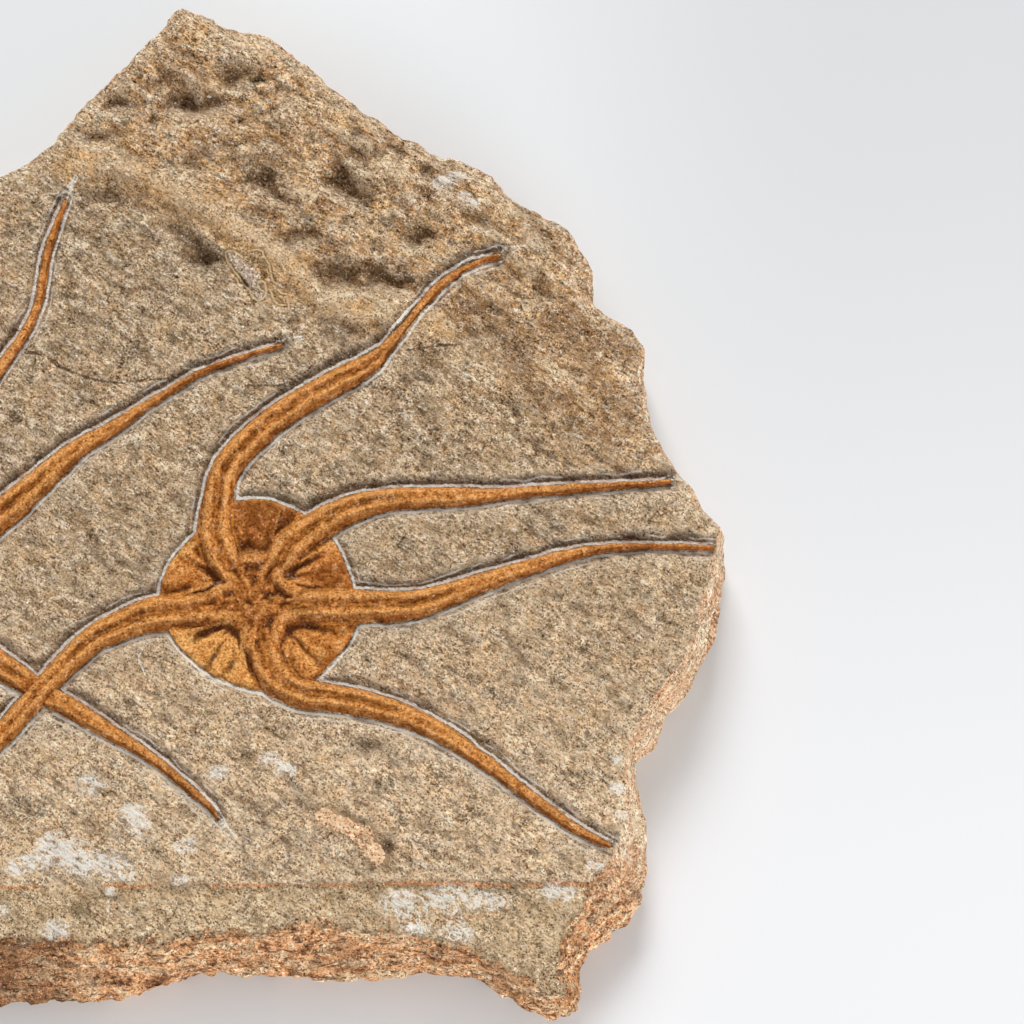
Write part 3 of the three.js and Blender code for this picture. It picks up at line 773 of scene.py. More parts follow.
# %% Other features of the face: x, y, radius, height
BROAD_SWELLS = [(8, 74, 30, 0.9), (52, 56, 22, 0.8)]
PITS = [(45.5, -69.5, 0.8, -0.9), (50.5, -72, 1.0, -0.8), (-25.5, 15, 1.4, -0.9), (-9, -84, 3, -1.4)]
SMUDGES = [
    (46.1, -51.6, 3, 1), (34, -62.5, 2.5, 0.8), (45.5, -69.5, 0.9, 1), (50.5, -72, 1.2, 1),
    (-25.5, 15, 1.6, 1), (51, -70, 2.5, 0.6), (-9, -84, 3, 0.8), (97, -49, 1.6, 0.8), (74, -99, 4, 0.5),
    (63, -91, 3, 0.5)]
POCKET_FLOOR = 18.2
LEDGE_Y = -79.3


def bumps(xy, features):
    """Sum of round swells and hollows."""
    return sum(height * np.exp(-((xy[:, 0] - x) ** 2 + (xy[:, 1] - y) ** 2) / radius ** 2)
               for x, y, radius, height in features)


def forms(xy, features):
    """Sum of long swells and hollows, with ragged outlines."""
    total = np.zeros(len(xy))
    xy = xy + np.column_stack([1.4 * rough(xy, 5, 4, seed) for seed in (71, 72)])
    for x, y, length, width, turn, height in features:
        local = turned(xy - [x, y], math.radians(-turn))
        total += height * np.exp(-(local[:, 0] / length) ** 2 - (local[:, 1] / width) ** 2)
    return total


def above_the_ramp(xy):
    """Distance in mm from the foot of the ramp where the weathered layer ends, up the slab."""
    foot = np.interp(xy[:, 0], [-20, -14, 5, 14.5, 22, 30, 40, 50], [68, 66, 57, 50.5, 41, 39, 36, 32])
    return 0.85 * (xy[:, 1] - foot) - 1.5 * rough(xy, 8, 3, 4)


def weathering(xy):
    """0 on the prepared part of the face, 1 on the weathered part."""
    return smooth(-3, 5, above_the_ramp(xy))


def ledge_distance(xy):
    """How far a place lies above the bedding step."""
    return xy[:, 1] - LEDGE_Y - 0.8 * rough(xy * [0.3, 1], 9, 3, 8) - 0.004 * (xy[:, 0] - 40)


def slanted(xy, stretch):
    """Places turned and stretched for noise that runs down to the right, as the needle went."""
    return turned(xy, math.radians(35)) * stretch


def broad_tones(xy):
    """Uneven tones towards the upper right, about -1 to 1."""
    upper_right = smooth(10, 40, xy[:, 1]) * smooth(20, 50, xy[:, 0])
    return 2.2 * rough(slanted(xy, [0.8, 1.2]), 11, 4, 60) * upper_right


def weathered_lumps(xy):
    """Crusts of the weathered part: small sharp ridges that run down to the right, about -1 to 1."""
    crusts = 0.4 - 2 * np.abs(rough(slanted(xy, [0.5, 1.3]), 3.6, 3, 2))
    off_the_ramp = smooth(1.5, 5, distance_to_line(xy, RAMP)) * smooth(-2, 6, above_the_ramp(xy))
    return (0.5 * rough(xy * [1, 1.25], 9, 3, 1) + 0.35 * crusts) * off_the_ramp


def chipped(xy):
    """The prepared face: flat, with small slanting places where crumbs came out."""
    chips = np.minimum(rough(slanted(xy, [0.5, 1.3]), 3.4, 4, 5), 0.06)
    return 0.3 * rough(xy, 11, 3, 3) + 0.7 * chips + 0.16 * rough(xy, 1.9, 2, 13)


def face_height(xy, apart):
    """Height of the face in mm."""
    weathered = weathering(xy)
    height = FACE + weathered * bumps(xy, BROAD_SWELLS)
    height = height + 1.3 * forms(xy + [0, 0.8], RELIEF) + 0.8 * forms(xy, ZONES)
    height += 0.5 * np.exp(-(distance_to_line(xy, RAMP) / 3.5) ** 2) + weathered_lumps(xy)
    height += 0.5 * broad_tones(xy) + (1 - 0.4 * weathered) * chipped(xy)
    ledge = ledge_distance(xy)
    step = smooth(-8, -3, xy[:, 0] + 2 * rough(xy, 6, 2, 6)) * 0.6 + 0.1
    height -= step * smooth(0.35, -0.35, ledge) + 0.05 * np.maximum(0, -ledge) * step
    height += bumps(xy, PITS)
    depth = 0.85 + 0.15 * rough(xy, 5, 2, 9)
    moat = depth * (1 - smooth(0.3, 2.4 + 0.9 * rough(xy, 8, 2, 11), apart))
    groove = 0.08 * np.exp(-((apart - 0.42) / 0.25) ** 2)
    height -= (moat + groove) * (1 - 0.2 * weathered)
    return np.where(apart < -0.3, POCKET_FLOOR, height)


apart = distance_to(face_xy)
to_rim = to_the_rim(face_xy)
rounding = 0.8 * np.exp(-to_rim / 1.0) + 0.8 * weathering(face_xy) * np.exp(-to_rim / 3.5)
face_z = face_height(face_xy, apart) - np.where(apart < -0.3, 0, rounding)
print("face runs from", round(face_z[apart > 0].min(), 2), "to", round(face_z.max(), 2), "mm")

# %% [markdown]
# ## The slab as one closed mesh
# The sheet is the top. Its rim is extruded down in rows, as one would pull it down by hand, and closed
# below. Then the rows are moved out to the rings of the solid, with the laminae and chips of a broken edge.

# %% Extrude the side
SIDE_ROWS = 26


def extrude_rim_down(rows):
    """Pulls the open rim of the active sheet down one row at a time."""
    bpy.ops.object.mode_set(mode="EDIT")
    bpy.ops.mesh.select_mode(type="EDGE")
    bpy.ops.mesh.select_all(action="SELECT")
    bpy.ops.mesh.region_to_loop()
    for _ in range(rows):
        bpy.ops.mesh.extrude_edges_move(TRANSFORM_OT_translate={"value": (0, 0, -MM)})
    bpy.ops.object.mode_set(mode="OBJECT")


slab = mesh_object("sandstone_slab", np.column_stack([face_xy, np.zeros(len(face_xy))]), face_triangles)
extrude_rim_down(SIDE_ROWS)
print("slab after the extrusions:", len(slab.data.vertices), "points")

# %% Shape the side
RIM_SHIFT = 0.9                             # how far small fractures move the rim in or out
WIDEST_ROW, WIDEST_LEVEL = 17, 0.42         # the row that stands out furthest, and its share of the height


def fracture(points, down):
    """How far the broken side stands out from the solid, in mm: laminae, chips and crumbs."""
    crumbly = smooth(-62, -84, points[:, 1])
    bedding = points[:, 2] + 0.9 * rough(points[:, :2], 25, 2, 20)
    laminae = 0.8 * rough(np.column_stack([points[:, :2] * 0.05, bedding * 0.8]), 1, 3, 21)
    chips = 0.7 * rough(points, 9, 3, 22)
    crumbs = (0.3 + crumbly) * rough(points * [0.7, 0.7, 1.4], 2.8, 3, 23)
    return (laminae * (1 - 0.5 * crumbly) + chips + crumbs) * smooth(-0.1, 0.1, down)


def side_place(column, share, rim_z):
    """Places on the broken side: which sample of the edge, and what share of the way up."""
    levels = np.array(LEVELS).T
    inset = shelf[column] * np.interp(share, levels[0], levels[1]) + np.interp(share, levels[0], levels[2])
    return np.column_stack([edge[column] + inward[column] * inset[:, None], rim_z * share])


points = points_of(slab)
count = len(face_xy)
row = np.round(-points[:, 2]).astype(int)
column = np.array([rim_knots.find((x, y, 0))[1] for x, y, _ in points.tolist()])
share = np.interp(row, [0, WIDEST_ROW, SIDE_ROWS], [1, WIDEST_LEVEL, 0])
side = side_place(column, share, face_z[column])
side[:, :2] -= inward[column] * fracture(side, 1 - share)[:, None]
points = np.where((row == 0)[:, None], points, side)
points[:count, 2] = face_z
from_rim = row * 0.5
from_rim[:count] = to_rim
shifted = RIM_SHIFT * rough(points[:, :2], 4, 4, 24) * np.exp(-from_rim / 2)
points[:, :2] -= inward[column] * shifted[:, None]
print("side stands out to", [round(v, 1) for v in (points[:, 0].min(), points[:, 0].max())])

# %% Close the underside
UNDER_SPACING = 3.2

lowest = np.flatnonzero(row == SIDE_ROWS)
lowest = lowest[np.argsort(column[lowest])]
loop = points[lowest, :2]
under = honeycomb(LOW, HIGH, UNDER_SPACING, 0.25, rng)
under = under[-outside(under, loop) - UNDER_SPACING / 2 > 0]
under_xy, under_triangles = triangles_over(under, loop, 1e-4)
pitted = 0.5 * np.maximum(0, rough(under_xy, 14, 4, 26) + 0.2) * smooth(0, 6, -outside(under_xy, loop))
renamed = np.r_[lowest, len(points) + np.arange(len(under_xy) - len(loop))]
faces = [tuple(face.vertices) for face in slab.data.polygons]
faces += [tuple(int(renamed[v]) for v in reversed(t)) for t in under_triangles]
points = np.vstack([points, np.column_stack([under_xy, pitted])[len(loop):]])
bpy.data.objects.remove(slab)
points[:count, :2] = warp(points[:count, :2])
slab = mesh_object("sandstone_slab", points, faces)
print("slab:", len(slab.data.polygons), "faces")


# %% Fair the slab
def fair():
    """Turns all faces of the active piece outwards and shades them smoothly."""
    bpy.ops.object.mode_set(mode="EDIT")
    bpy.ops.mesh.select_all(action="SELECT")
    bpy.ops.mesh.normals_make_consistent(inside=False)
    bpy.ops.object.mode_set(mode="OBJECT")
    bpy.ops.object.shade_smooth_by_angle(angle=math.radians(60))


fair()

# %% Stains on the slab: x, y, radius of the chalk, and lines
CHALK = [
    (61.5, 65.5, 2.2), (64, 66.5, 1.6), (60, 64.5, 1.6), (67, 60.5, 1.6), (65, 62, 1.3), (-13.5, -72.5, 4),
    (-5.5, -75, 4), (-19.5, -75, 2.5), (-15, -70.5, 2.2), (-10, -75.5, 2.2), (-22, -76, 2),
    (-8, -59.5, 2.8), (0.5, -65, 2.6), (2.5, -68.5, 2.6), (0, -77, 2.2), (10, -78.3, 1.6), (11, -71.5, 2.2),
    (-24.7, -84, 1.5), (-14, -88, 2.6), (17, -57, 2), (27, -54.5, 2), (30.5, -56.5, 2), (53, -83, 4),
    (62.5, -82, 4), (70.5, -82, 3), (56, -87.4, 2.4), (64, -88.5, 3), (84, -80.7, 3), (-3.5, -80.5, 1),
    (96, -54.5, 1.3), (95.5, -60, 1.5), (96.5, -65.5, 1.3), (91, -75.5, 1.6)]
VEINS = [[(-4.5, -72), (-4, -76.5), (-4, -80.5), (-4, -85.5)], [(-2.5, -83), (8, -82.5)]]
SEAMS = [[(36, -86), (44, -85.7), (57, -86.2), (66.5, -85.5), (72.5, -84.5)]]
STAIN = [(38, -65.5), (42, -67.5), (45.5, -69.5), (48.5, -74)]


def tip_gap(xy):
    """Distance to the nearest tip of an arm."""
    return np.min([np.linalg.norm(xy - arm.middle[-1], axis=1) for arm in arms.values()], axis=0)


def nearest_line(xy, lines):
    return np.min([distance_to_line(xy, line) for line in lines], axis=0)


spot = points[:, :2]
slab_apart = np.full(len(points), FAR)
slab_apart[:count] = apart
crumbly = smooth(-66, -86, spot[:, 1] + 3 * rough(spot, 9, 2, 27))
is_side = np.ones(len(points))
is_side[:count] = 0.5 * np.exp(-to_rim / (0.5 + 2.6 * crumbly[:count]))
weathered = weathering(spot)
tanned = smooth(68, 100, spot[:, 0] + 0.3 * spot[:, 1] + 6 * rough(spot, 12, 3, 61))
tanned = tanned * smooth(-5, 18, spot[:, 1])
umber = smooth(5, -30, spot[:, 0] + 8 * rough(spot, 12, 3, 62))
around = spot + [0, 0.2]
# Above 0.5 below an arm and under 0.5 above one; the paint uses it for painted shade on the upper side of the
# arms.
lower_side = np.full(len(points), 0.5)
lower_side[:count] = 0.5 + 0.5 * (apart - distance_to(around[:count])) / 0.2
chalk = sum(np.exp(-((spot[:, 0] - x) ** 2 + ((spot[:, 1] - y) * 1.6) ** 2) / r ** 2) for x, y, r in CHALK)
on_face = np.arange(len(points)) < count
lines_of = dict(ramp=[RAMP], crack=CRACKS, scratch=SCRATCHES, shell=SHELLS, pith=[SHELL_CORE], vein=VEINS,
                seam=SEAMS, stain=[STAIN])
carry(slab, **{name: nearest_line(spot, lines) for name, lines in lines_of.items()})
carry(slab, apart=slab_apart, lower_side=lower_side, tip=tip_gap(spot), side=is_side, crumbly=crumbly,
      weathered=np.maximum(weathered, 0.8 * tanned), umber=umber, relief=forms(spot, RELIEF),
      zone=forms(spot, ZONES) + broad_tones(spot) - 0.65 * tanned, smudge=bumps(spot, SMUDGES),
      chalk=np.clip(chalk, 0, 1), ledge=ledge_distance(spot), hollow=np.where(on_face, hollows(slab, 6), 0),
      lit=facing(slab, count))
print("masks on the slab:", len(slab.data.attributes))


# %% [markdown]
# ## Sandstone
# The stone is fine sand cemented brown, with a grain of a quarter to half a millimetre, a warm tan where it
# has weathered, and fresh, pinkish or rusty, where it is broken. The needle left grey powder in the moats
# and a white line close to each star. The grey band is darker on the upper side of each arm, where painted
# shade stands for the moat wall that faces away from the lamp. The paint also lays painted shade in the
# hollows and on slopes that face away from the lamp, and painted highlight on crests and slopes that face it.

# %% Sandstone
def sandstone_paint():
    paint = Paint("sandstone", roughness=0.92, specular=0.12)
    weathered, side, crumbly = (paint.mask(n) for n in ("weathered", "side", "crumbly"))
    apart, lower = paint.mask("apart"), paint.mask("lower_side")
    broad = paint.clouds(26, 4, seed=1)
    patch = paint.clouds(5.5, 5, seed=2)
    streak = paint.clouds(2.6, 5, stretch=(0.6, 1.4, 1), turn=-35, seed=3)
    grain, hue, speck = paint.grains(0.25, seed=4)
    dust = paint.clouds(0.45, 4, seed=5)
    strokes = paint.clouds(0.9, 5, stretch=(0.7, 1.4, 1), turn=-35, seed=30)

    color = paint.mix(broad.fade(0.35, 0.65), srgb(186, 156, 120), srgb(208, 176, 138))
    ledge = paint.mask("ledge")
    tan = paint.mix(patch.fade(0.38, 0.62), srgb(215, 157, 100), srgb(251, 195, 130))
    color = paint.coats(color, (ledge.fade(75, 15), 0.9, 244, 208, 166))
    color = paint.mix(weathered * 0.85, color, tan)
    flecks = paint.clouds(1.5, 4, stretch=(0.6, 1.5, 1), turn=-30, seed=20)
    flecks = flecks.fade(0.56, 0.66) * (weathered * 0.7)
    yellow = paint.clouds(1.7, 4, seed=19).fade(0.55, 0.7)
    hues = paint.clouds(3.4, 4, seed=28)
    chips = paint.clouds(1.5, 4, stretch=(0.5, 1.6, 1), turn=-35, seed=26)
    pale = 0.3 * ledge.fade(75, 105) + 0.55
    ramp = (paint.mask("ramp") + 4.0 * patch).fade(7.0, 3.4)
    relief = paint.mask("relief") + 1.6 * patch - 0.8
    zone = paint.mask("zone") + 2.0 * patch - 1.0
    hollow = paint.mask("hollow")
    color = paint.coats(
        color,
        (patch.fade(0.55, 0.7), 1, 134, 115, 94),
        (streak.fade(0.5, 0.66), 0.85, 220, 194, 164),
        (streak.fade(0.46, 0.3), 0.55, 118, 88, 60),
        (flecks, 1, 98, 68, 42),
        (yellow, 0.5, 206, 168, 108),
        (hues.fade(0.5, 0.62), 0.5, 222, 178, 130),
        (hues.fade(0.48, 0.36), 0.45, 142, 120, 96),
        (chips.fade(0.57, 0.68) * pale, 1, 236, 216, 192),
        (ramp, 0.8, 232, 184, 128),
        # Darker in the hollows of the zone and relief forms and lighter on their swells: partly tone of the
        # stone, partly painted shade and painted highlight.
        (zone.fade(0.1, -1.0), 0.5, 126, 86, 52),
        (zone.fade(0.1, 1.0), 0.6, 226, 188, 142),
        (relief.fade(-0.2, -2.4), 0.55, 96, 64, 38),
        (paint.mask("smudge").fade(0.1, 1.3), 1, 92, 70, 50),
        (relief.fade(0.3, 1.3), 0.4, 230, 198, 158),
        # Darker in the hollows, partly stain and partly painted shade; lighter on the crests, painted
        # highlight.
        (hollow.fade(0.02, 0.16), 0.45, 104, 82, 60),
        (hollow.fade(-0.02, -0.14), 0.5, 226, 198, 164))

    # Painted shade on slopes that face away from the lamp, and painted highlight on slopes that face it.
    lit = paint.mask("lit")
    color = paint.coats(
        color,
        (lit.fade(-0.06, -0.45), 0.4, 92, 70, 48),
        (lit.fade(0.06, 0.4), 0.4, 240, 212, 176))

    below = ledge.fade(0.3, -0.5)
    wobble = ledge + 1.8 * paint.clouds(3.2, 5, seed=6) - 0.9
    seam = abs(wobble).fade(0.55, 0.15) * paint.clouds(7, 4, seed=7).fade(0.42, 0.5)
    lower_seam = (paint.mask("seam") + 0.8 * dust).fade(0.85, 0.55)
    seam = paint.larger(seam, lower_seam) * 0.75
    stain = (paint.mask("stain") + 3.0 * paint.clouds(2.2, 4, seed=15)).fade(3.3, 2.9)
    under = (paint.mask("stain") + 2.0 * patch).fade(4.6, 3.0)
    color = paint.coats(
        color,
        (below, 0.35, 196, 166, 122),
        (seam, 1, 216, 144, 92),
        (under, 0.5, 120, 88, 58),
        (stain, 1, 255, 208, 164))

    broken = (side + 0.8 * paint.clouds(2.2, 4, seed=8)).fade(0.7, 0.84)
    layers = paint.clouds(1.0, 4, stretch=(0.1, 0.1, 0.9), seed=9)
    fresh = paint.mix(layers.fade(0.36, 0.64), srgb(224, 172, 130), srgb(246, 218, 182))
    crumbs = paint.clouds(3.0, 5, stretch=(0.5, 1, 1.4), seed=10)
    rust = paint.mix(crumbs.fade(0.48, 0.58), srgb(246, 180, 126), srgb(252, 210, 164))
    recess = paint.clouds(6, 4, seed=32).fade(0.52, 0.38)
    gaps = paint.clouds(1.8, 5, stretch=(0.5, 1.3, 1.3), seed=35).fade(0.43, 0.35)
    rust = paint.coats(
        rust,
        (crumbs.fade(0.46, 0.34), 0.85, 118, 66, 36),
        (recess, 0.45, 156, 104, 66),
        (gaps, 0.7, 86, 52, 32),
        (paint.mask("umber"), 0.7, 138, 92, 58))
    color = paint.mix(broken, color, paint.mix(crumbly, fresh, rust))

    # Grey powder round the stars, with painted shade added on the upper side of each arm, where the moat wall
    # faces away from the lamp.
    reach = apart + 2.0 * patch + 2.3 * lower
    powder_and_shade_band = reach.fade(4.4, 1.6)
    powder = 0.5 * (dust + 0.3 * grain).fade(0.55, 0.72) + 0.4
    color = paint.coats(color, (powder_and_shade_band * powder, 1, 96, 86, 74))

    crack = (paint.mask("crack") + 0.8 * dust + 1.2 * paint.clouds(5, 3, seed=36) - 0.6).fade(0.78, 0.52)
    pith = (paint.mask("pith") + 2.0 * paint.clouds(1.6, 4, seed=34)).fade(2.7, 2.1)
    rim = paint.mask("shell") + 0.5 * dust
    shell = rim.fade(0.5, 0.36)
    color = paint.coats(
        color,
        (crack, 0.8, 88, 58, 40),
        (pith, 0.7, 220, 196, 174),
        # A dark edge round the pale lines of the shell: painted shadow.
        (rim.fade(0.95, 0.6), 0.55, 112, 80, 50))

    uneven = (0.7 * grain + 1.7 * dust + 2.6 * strokes + 0.9 * paint.clouds(1.3, 3, seed=11)
              + 0.8 * paint.clouds(4, 4, seed=29) - 3.35)
    lively = (0.5 * paint.clouds(5, 3, seed=31).fade(0.38, 0.62) + 0.16 * ledge.fade(55, 105) + 0.1 * side
              - 0.3 * ramp + 0.62)
    color = paint.coats(
        color,
        (speck.fade(0.12, 0.06), 0.8, 62, 46, 34),
        (speck.fade(0.9, 0.96), 0.45, 240, 222, 196),
        (hue.fade(0.8, 0.9), 0.12, 214, 158, 92))
    color = paint.grade(color, uneven * lively + 1.1, 1.2, 1.42)

    wander = apart + 0.8 * paint.clouds(4, 3, seed=12) - 0.15 * lower - 0.87
    line = (abs(wander) + 0.9 * dust).fade(0.8, 0.64)
    line = line * paint.clouds(5, 4, seed=13).fade(0.28, 0.38)
    again = apart + 2.4 * paint.clouds(9, 3, seed=17) - 2.8
    again = (abs(again) + 0.6 * dust).fade(0.6, 0.3)
    again = again * paint.clouds(11, 2, seed=18).fade(0.5, 0.56)
    line = paint.larger(line, again * 0.6)
    line = line * paint.mask("tip").fade(1.0, 1.7)
    net = abs(paint.clouds(3.0, 4, seed=16) - 0.5).fade(0.045, 0.0135)
    chalk = paint.mask("chalk")
    chalky = 0.7 * chalk + 2.8 * paint.clouds(1.6, 5, stretch=(0.7, 1.3, 1), turn=-25, seed=14) + 0.9 * dust
    veil = chalky.fade(1.95, 2.45) * (chalk.fade(0.05, 0.4) * 0.3)
    chalky = paint.larger(chalky.fade(2.34, 2.54), net * chalk.fade(0.1, 0.45))
    chalky = paint.larger(chalky * 0.88, veil)
    thin = paint.smaller(paint.mask("scratch"), paint.mask("vein") - 0.1)
    scratched = (thin + 1.1 * dust).fade(0.78, 0.58)
    white = paint.larger(paint.larger(line, chalky), scratched)
    chalk_white = paint.grade(srgb(255, 247, 235)[:3], 0.7 * dust + 0.2 * grain + 0.68)
    color = paint.mix(white * 0.94, color, chalk_white)
    color = paint.coats(color, (shell, 0.8, 255, 222, 164))

    bedding = layers * (side * 0.8)
    relief = (0.35 * grain + 0.9 * dust + 2.8 * streak + 1.2 * strokes + 2.0 * chips + 2.0 * bedding
              - 0.8 * flecks + 5.0 * (crumbs * broken * crumbly) - 1.6 * (gaps * broken * crumbly))
    return paint.finish(color, relief, 0.7)


slab.data.materials.append(sandstone_paint())
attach(slab, "root")
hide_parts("slab")

# %% [markdown]
# ## The stars
# Each star is one surface: the arms grow out of the disc, and on the side that shows, the mouth side, every
# arm has two rounded ridges with a groove between them. Round the mouth the ridges of neighbouring arms
# join in the jaws. Between the arms the skin of the disc is sunken and folded. So a star is one sheet whose
# height comes from how far a place lies along and across an arm.

# %% Sheet of a star
STAR_ROWS = [0.03, -0.12, -0.3, -0.52, -0.8]


def star_sheet(star, spacing):
    """A flat sheet of triangles with the outline of a star, and its points in mm."""
    names = [name for name in ARMS if name.startswith(star)]
    spots = np.vstack([arms[name].middle for name in names] + [margin_of(f"{star}_disc")])
    grid = honeycomb(spots.min(axis=0) - 2, spots.max(axis=0) + 2, spacing, 0.2, rng)
    grid = grid[distance_to(grid, star) < STAR_ROWS[-1] - 0.2]
    spine = np.vstack([arms[name].middle for name in names])
    spine = spine[distance_to(spine, star) > STAR_ROWS[-1]]
    inner = np.vstack([outline_rows(STAR_ROWS, 0.3, star), grid, spine, outline_rows([0.45], 0.4, star)])
    box = np.array([(-130, 120), (130, 120), (130, -120), (-130, -120)], float)
    xy, triangles = triangles_over(inner, box, 0.04)
    apart = distance_to(xy, star)
    kept = np.array([t for t in triangles if max(apart[list(t)]) < 0.1])
    used, renamed = np.unique(kept, return_inverse=True)
    faces = renamed.reshape(kept.shape).tolist()
    sheet = mesh_object(star, np.column_stack([xy[used], np.zeros(len(used))]), faces)
    print(star, "sheet:", len(used), "points,", len(faces), "triangles")
    return sheet, xy[used]


# %% Shape of a star
STAR_EDGE = 19.15
FOLDING = [0.2, 0.75, 0.72, 0.85, 0.62]    # depth of the folds in the skin between the arms, clockwise
STAR_BASE = 18.45
DISC_TOP = 19.35
JAW_FLOOR = 18.6
CROSSING = (-17.6, -40.6)                   # where one star's arm lies over the other's

# Swells and hollows round the mouth: x, y, radius, height
MOUTH_FORMS = {
    "star_1": [(26.6, -21.3, 2, -1), (24.6, -19, 1.5, -0.4), (22.3, -22.9, 1.3, -0.35),
               (25.8, -26.9, 0.9, -0.5), (24.3, -26.2, 0.8, 0.35), (25.2, -24.2, 0.8, 0.3),
               (20.9, -18.5, 1.6, 0.3), (22.8, -15.5, 1.5, 0.25)],
    "star_2": [(-51.5, -21, 1.6, -0.7), (-53, -22.5, 1, -0.4), (-50.2, -23, 0.8, 0.3),
               (-52.6, -18.8, 1.2, 0.3)],
}


def soft_max(a, b, width=0.12):
    """The larger of two heights, with the crease between them softened."""
    return 0.5 * (a + b + np.sqrt((a - b) ** 2 + width ** 2))


def mouth_of(star):
    return np.array(DISCS[f"{star}_disc"][1])


def jaw_lines(star):
    """The ridges that join each arm to the next one, round the mouth."""
    around = [arms[f"{star}_arm_{k}"] for k in (1, 2, 3, 4, 5)]
    return [[a.at(9, -0.5), a.at(5, -0.5), turn, b.at(5, 0.5), b.at(9, 0.5)]
            for a, b, turn in zip(around, around[1:] + around[:1], JAWS[star])]


def sectors(xy, star):
    """The gap between two arms that each place of a disc is in, and angle and distance from its corner."""
    mouth = mouth_of(star)
    corners = np.array(JAWS[star])
    directions = polar(corners - mouth)[0]
    turn = polar(xy - mouth)[0][:, None] - directions[None, :]
    sector = np.abs((turn + math.pi) % (2 * math.pi) - math.pi).argmin(axis=1)
    angle, reach = polar(xy - corners[sector])
    return sector, angle, reach


def disc_height(xy, star):
    """Height of the disc between the arms, how far inside its margin a place lies, and its folds."""
    inward = -distance_to_disc(xy, f"{star}_disc")
    near = inward > -1
    sector, angle, reach = sectors(xy[near], star)
    fan = np.column_stack([np.cos(angle) * 7, np.sin(angle) * 7, reach * 0.16 + 5 * sector])
    folds = (0.6 - 2 * np.abs(rough(fan, 3.2, 2, 41))) * smooth(1, 5, reach) * np.array(FOLDING)[sector]
    corners = np.array(JAWS[star])
    outward = corners - mouth_of(star)
    beyond = corners + outward / np.linalg.norm(outward, axis=1)[:, None] * 2.1
    pit = np.exp(-(np.linalg.norm(xy[near] - beyond[sector], axis=1) / 2.2) ** 2)
    level = DISC_TOP + 0.4 * smooth(4, 14, reach) + folds - 1.1 * pit
    height = np.full(len(xy), DISC_TOP)
    height[near] = level + 0.15 * rough(xy[near], 4, 3, 42)
    folded = np.zeros(len(xy))
    folded[near] = folds
    return height - 0.5 * np.exp(-np.maximum(inward, 0) / 0.5), inward, folded


def star_height(xy, star):
    """Height of a star's surface, how much skin of the disc shows, and the length reached along an arm."""
    disc_z, inward, folded = disc_height(xy, star)
    height = np.where(inward > -0.3, disc_z, STAR_EDGE)
    low = np.where(inward > 0, np.minimum(disc_z - 0.1, DISC_TOP), STAR_EDGE)
    crease, skin = np.zeros(len(xy)), np.ones(len(xy))
    furthest = np.zeros(len(xy))
    streaks = np.zeros(len(xy))
    for name, arm in arms.items():
        if not name.startswith(star):
            continue
        apart, across, half, reached = follow(xy, arm)
        inside = apart < 0.25
        v = np.clip(np.abs(across), 0, 1)
        lengthwise = np.column_stack([reached, across * half])
        wavy = across.copy()
        wavy[inside] += 0.14 * rough(lengthwise[inside] * [1, 0.2], 5, 2, 46)
        body = (1 - v ** 3) ** 0.6
        two = np.exp(-((np.abs(wavy) - 0.5) / 0.3) ** 2) - 0.45
        double = 0.45 * smooth(1.3, 3.0, half) + 0.08
        middle = 0.1 * np.exp(-(wavy / 0.08) ** 2)
        rise = 0.35 + 0.65 * smooth(0, 6, reached)
        crest = FACE + 0.45 + 0.14 * half
        if name == "star_1_arm_5":
            crest += 0.4 * np.exp(-((xy - CROSSING) ** 2).sum(axis=1) / 30)
        level = low + (crest - low) * rise * (body + (body > 0) * (double * two + middle * double))
        level[inside] += 0.1 * rough(lengthwise[inside], 4, 2, 47) * (v[inside] < 0.95)
        height = np.where(inside, soft_max(height, level), height)
        skin = np.where(inside, np.minimum(skin, smooth(-0.3, 0.2, apart)), skin)
        edge = np.exp(-((np.abs(apart) - 0.1) / 0.2) ** 2) * smooth(0, 2, inward) * smooth(5, 9, reached)
        crease = np.maximum(crease, np.maximum(edge, (apart < 0) * np.exp(-(wavy / 0.1) ** 2) * double))
        furthest = np.where(inside, np.maximum(furthest, reached), furthest)
        streaks[inside] = rough(lengthwise[inside] * [1, 2], 2.4, 4, 44)
    return height + 0.12 * streaks, crease, skin, furthest, np.where(skin > 0.5, 1.2 * folded, streaks)


def mouth_height(xy, star, height):
    """Adds the jaws and the rough skin round the mouth."""
    from_mouth = np.linalg.norm(xy - mouth_of(star), axis=1)
    near = from_mouth < 14
    spot, reach = xy[near], from_mouth[near]
    before = height[near]
    level = before
    for line in jaw_lines(star):
        gap = distance_to_line(spot + 0.3 * rough(spot, 3, 2, 48)[:, None], spline(line, 0.5))
        top = FACE + 0.8 - 0.03 * np.maximum(0, 6 - reach) + 0.15 * rough(spot, 2.5, 2, 49)
        ridge = JAW_FLOOR + (top - JAW_FLOOR) * np.exp(-(gap / 1.75) ** 2.4) * smooth(14, 8, reach)
        level = soft_max(level, ridge, 0.35)
    level = soft_max(level, FACE + 0.75 - 0.035 * reach ** 2 + 0.3 * rough(spot, 3, 3, 51), 0.5)
    level = before + (level - before) * smooth(13.5, 10, reach)
    level += bumps(spot, MOUTH_FORMS[star]) * (1 + 0.6 * rough(spot, 2.2, 2, 50))
    level += 0.25 * rough(spot, 2.0, 3, 43) * np.exp(-(reach / 8) ** 2)
    result = height.copy()
    result[near] = level
    return result


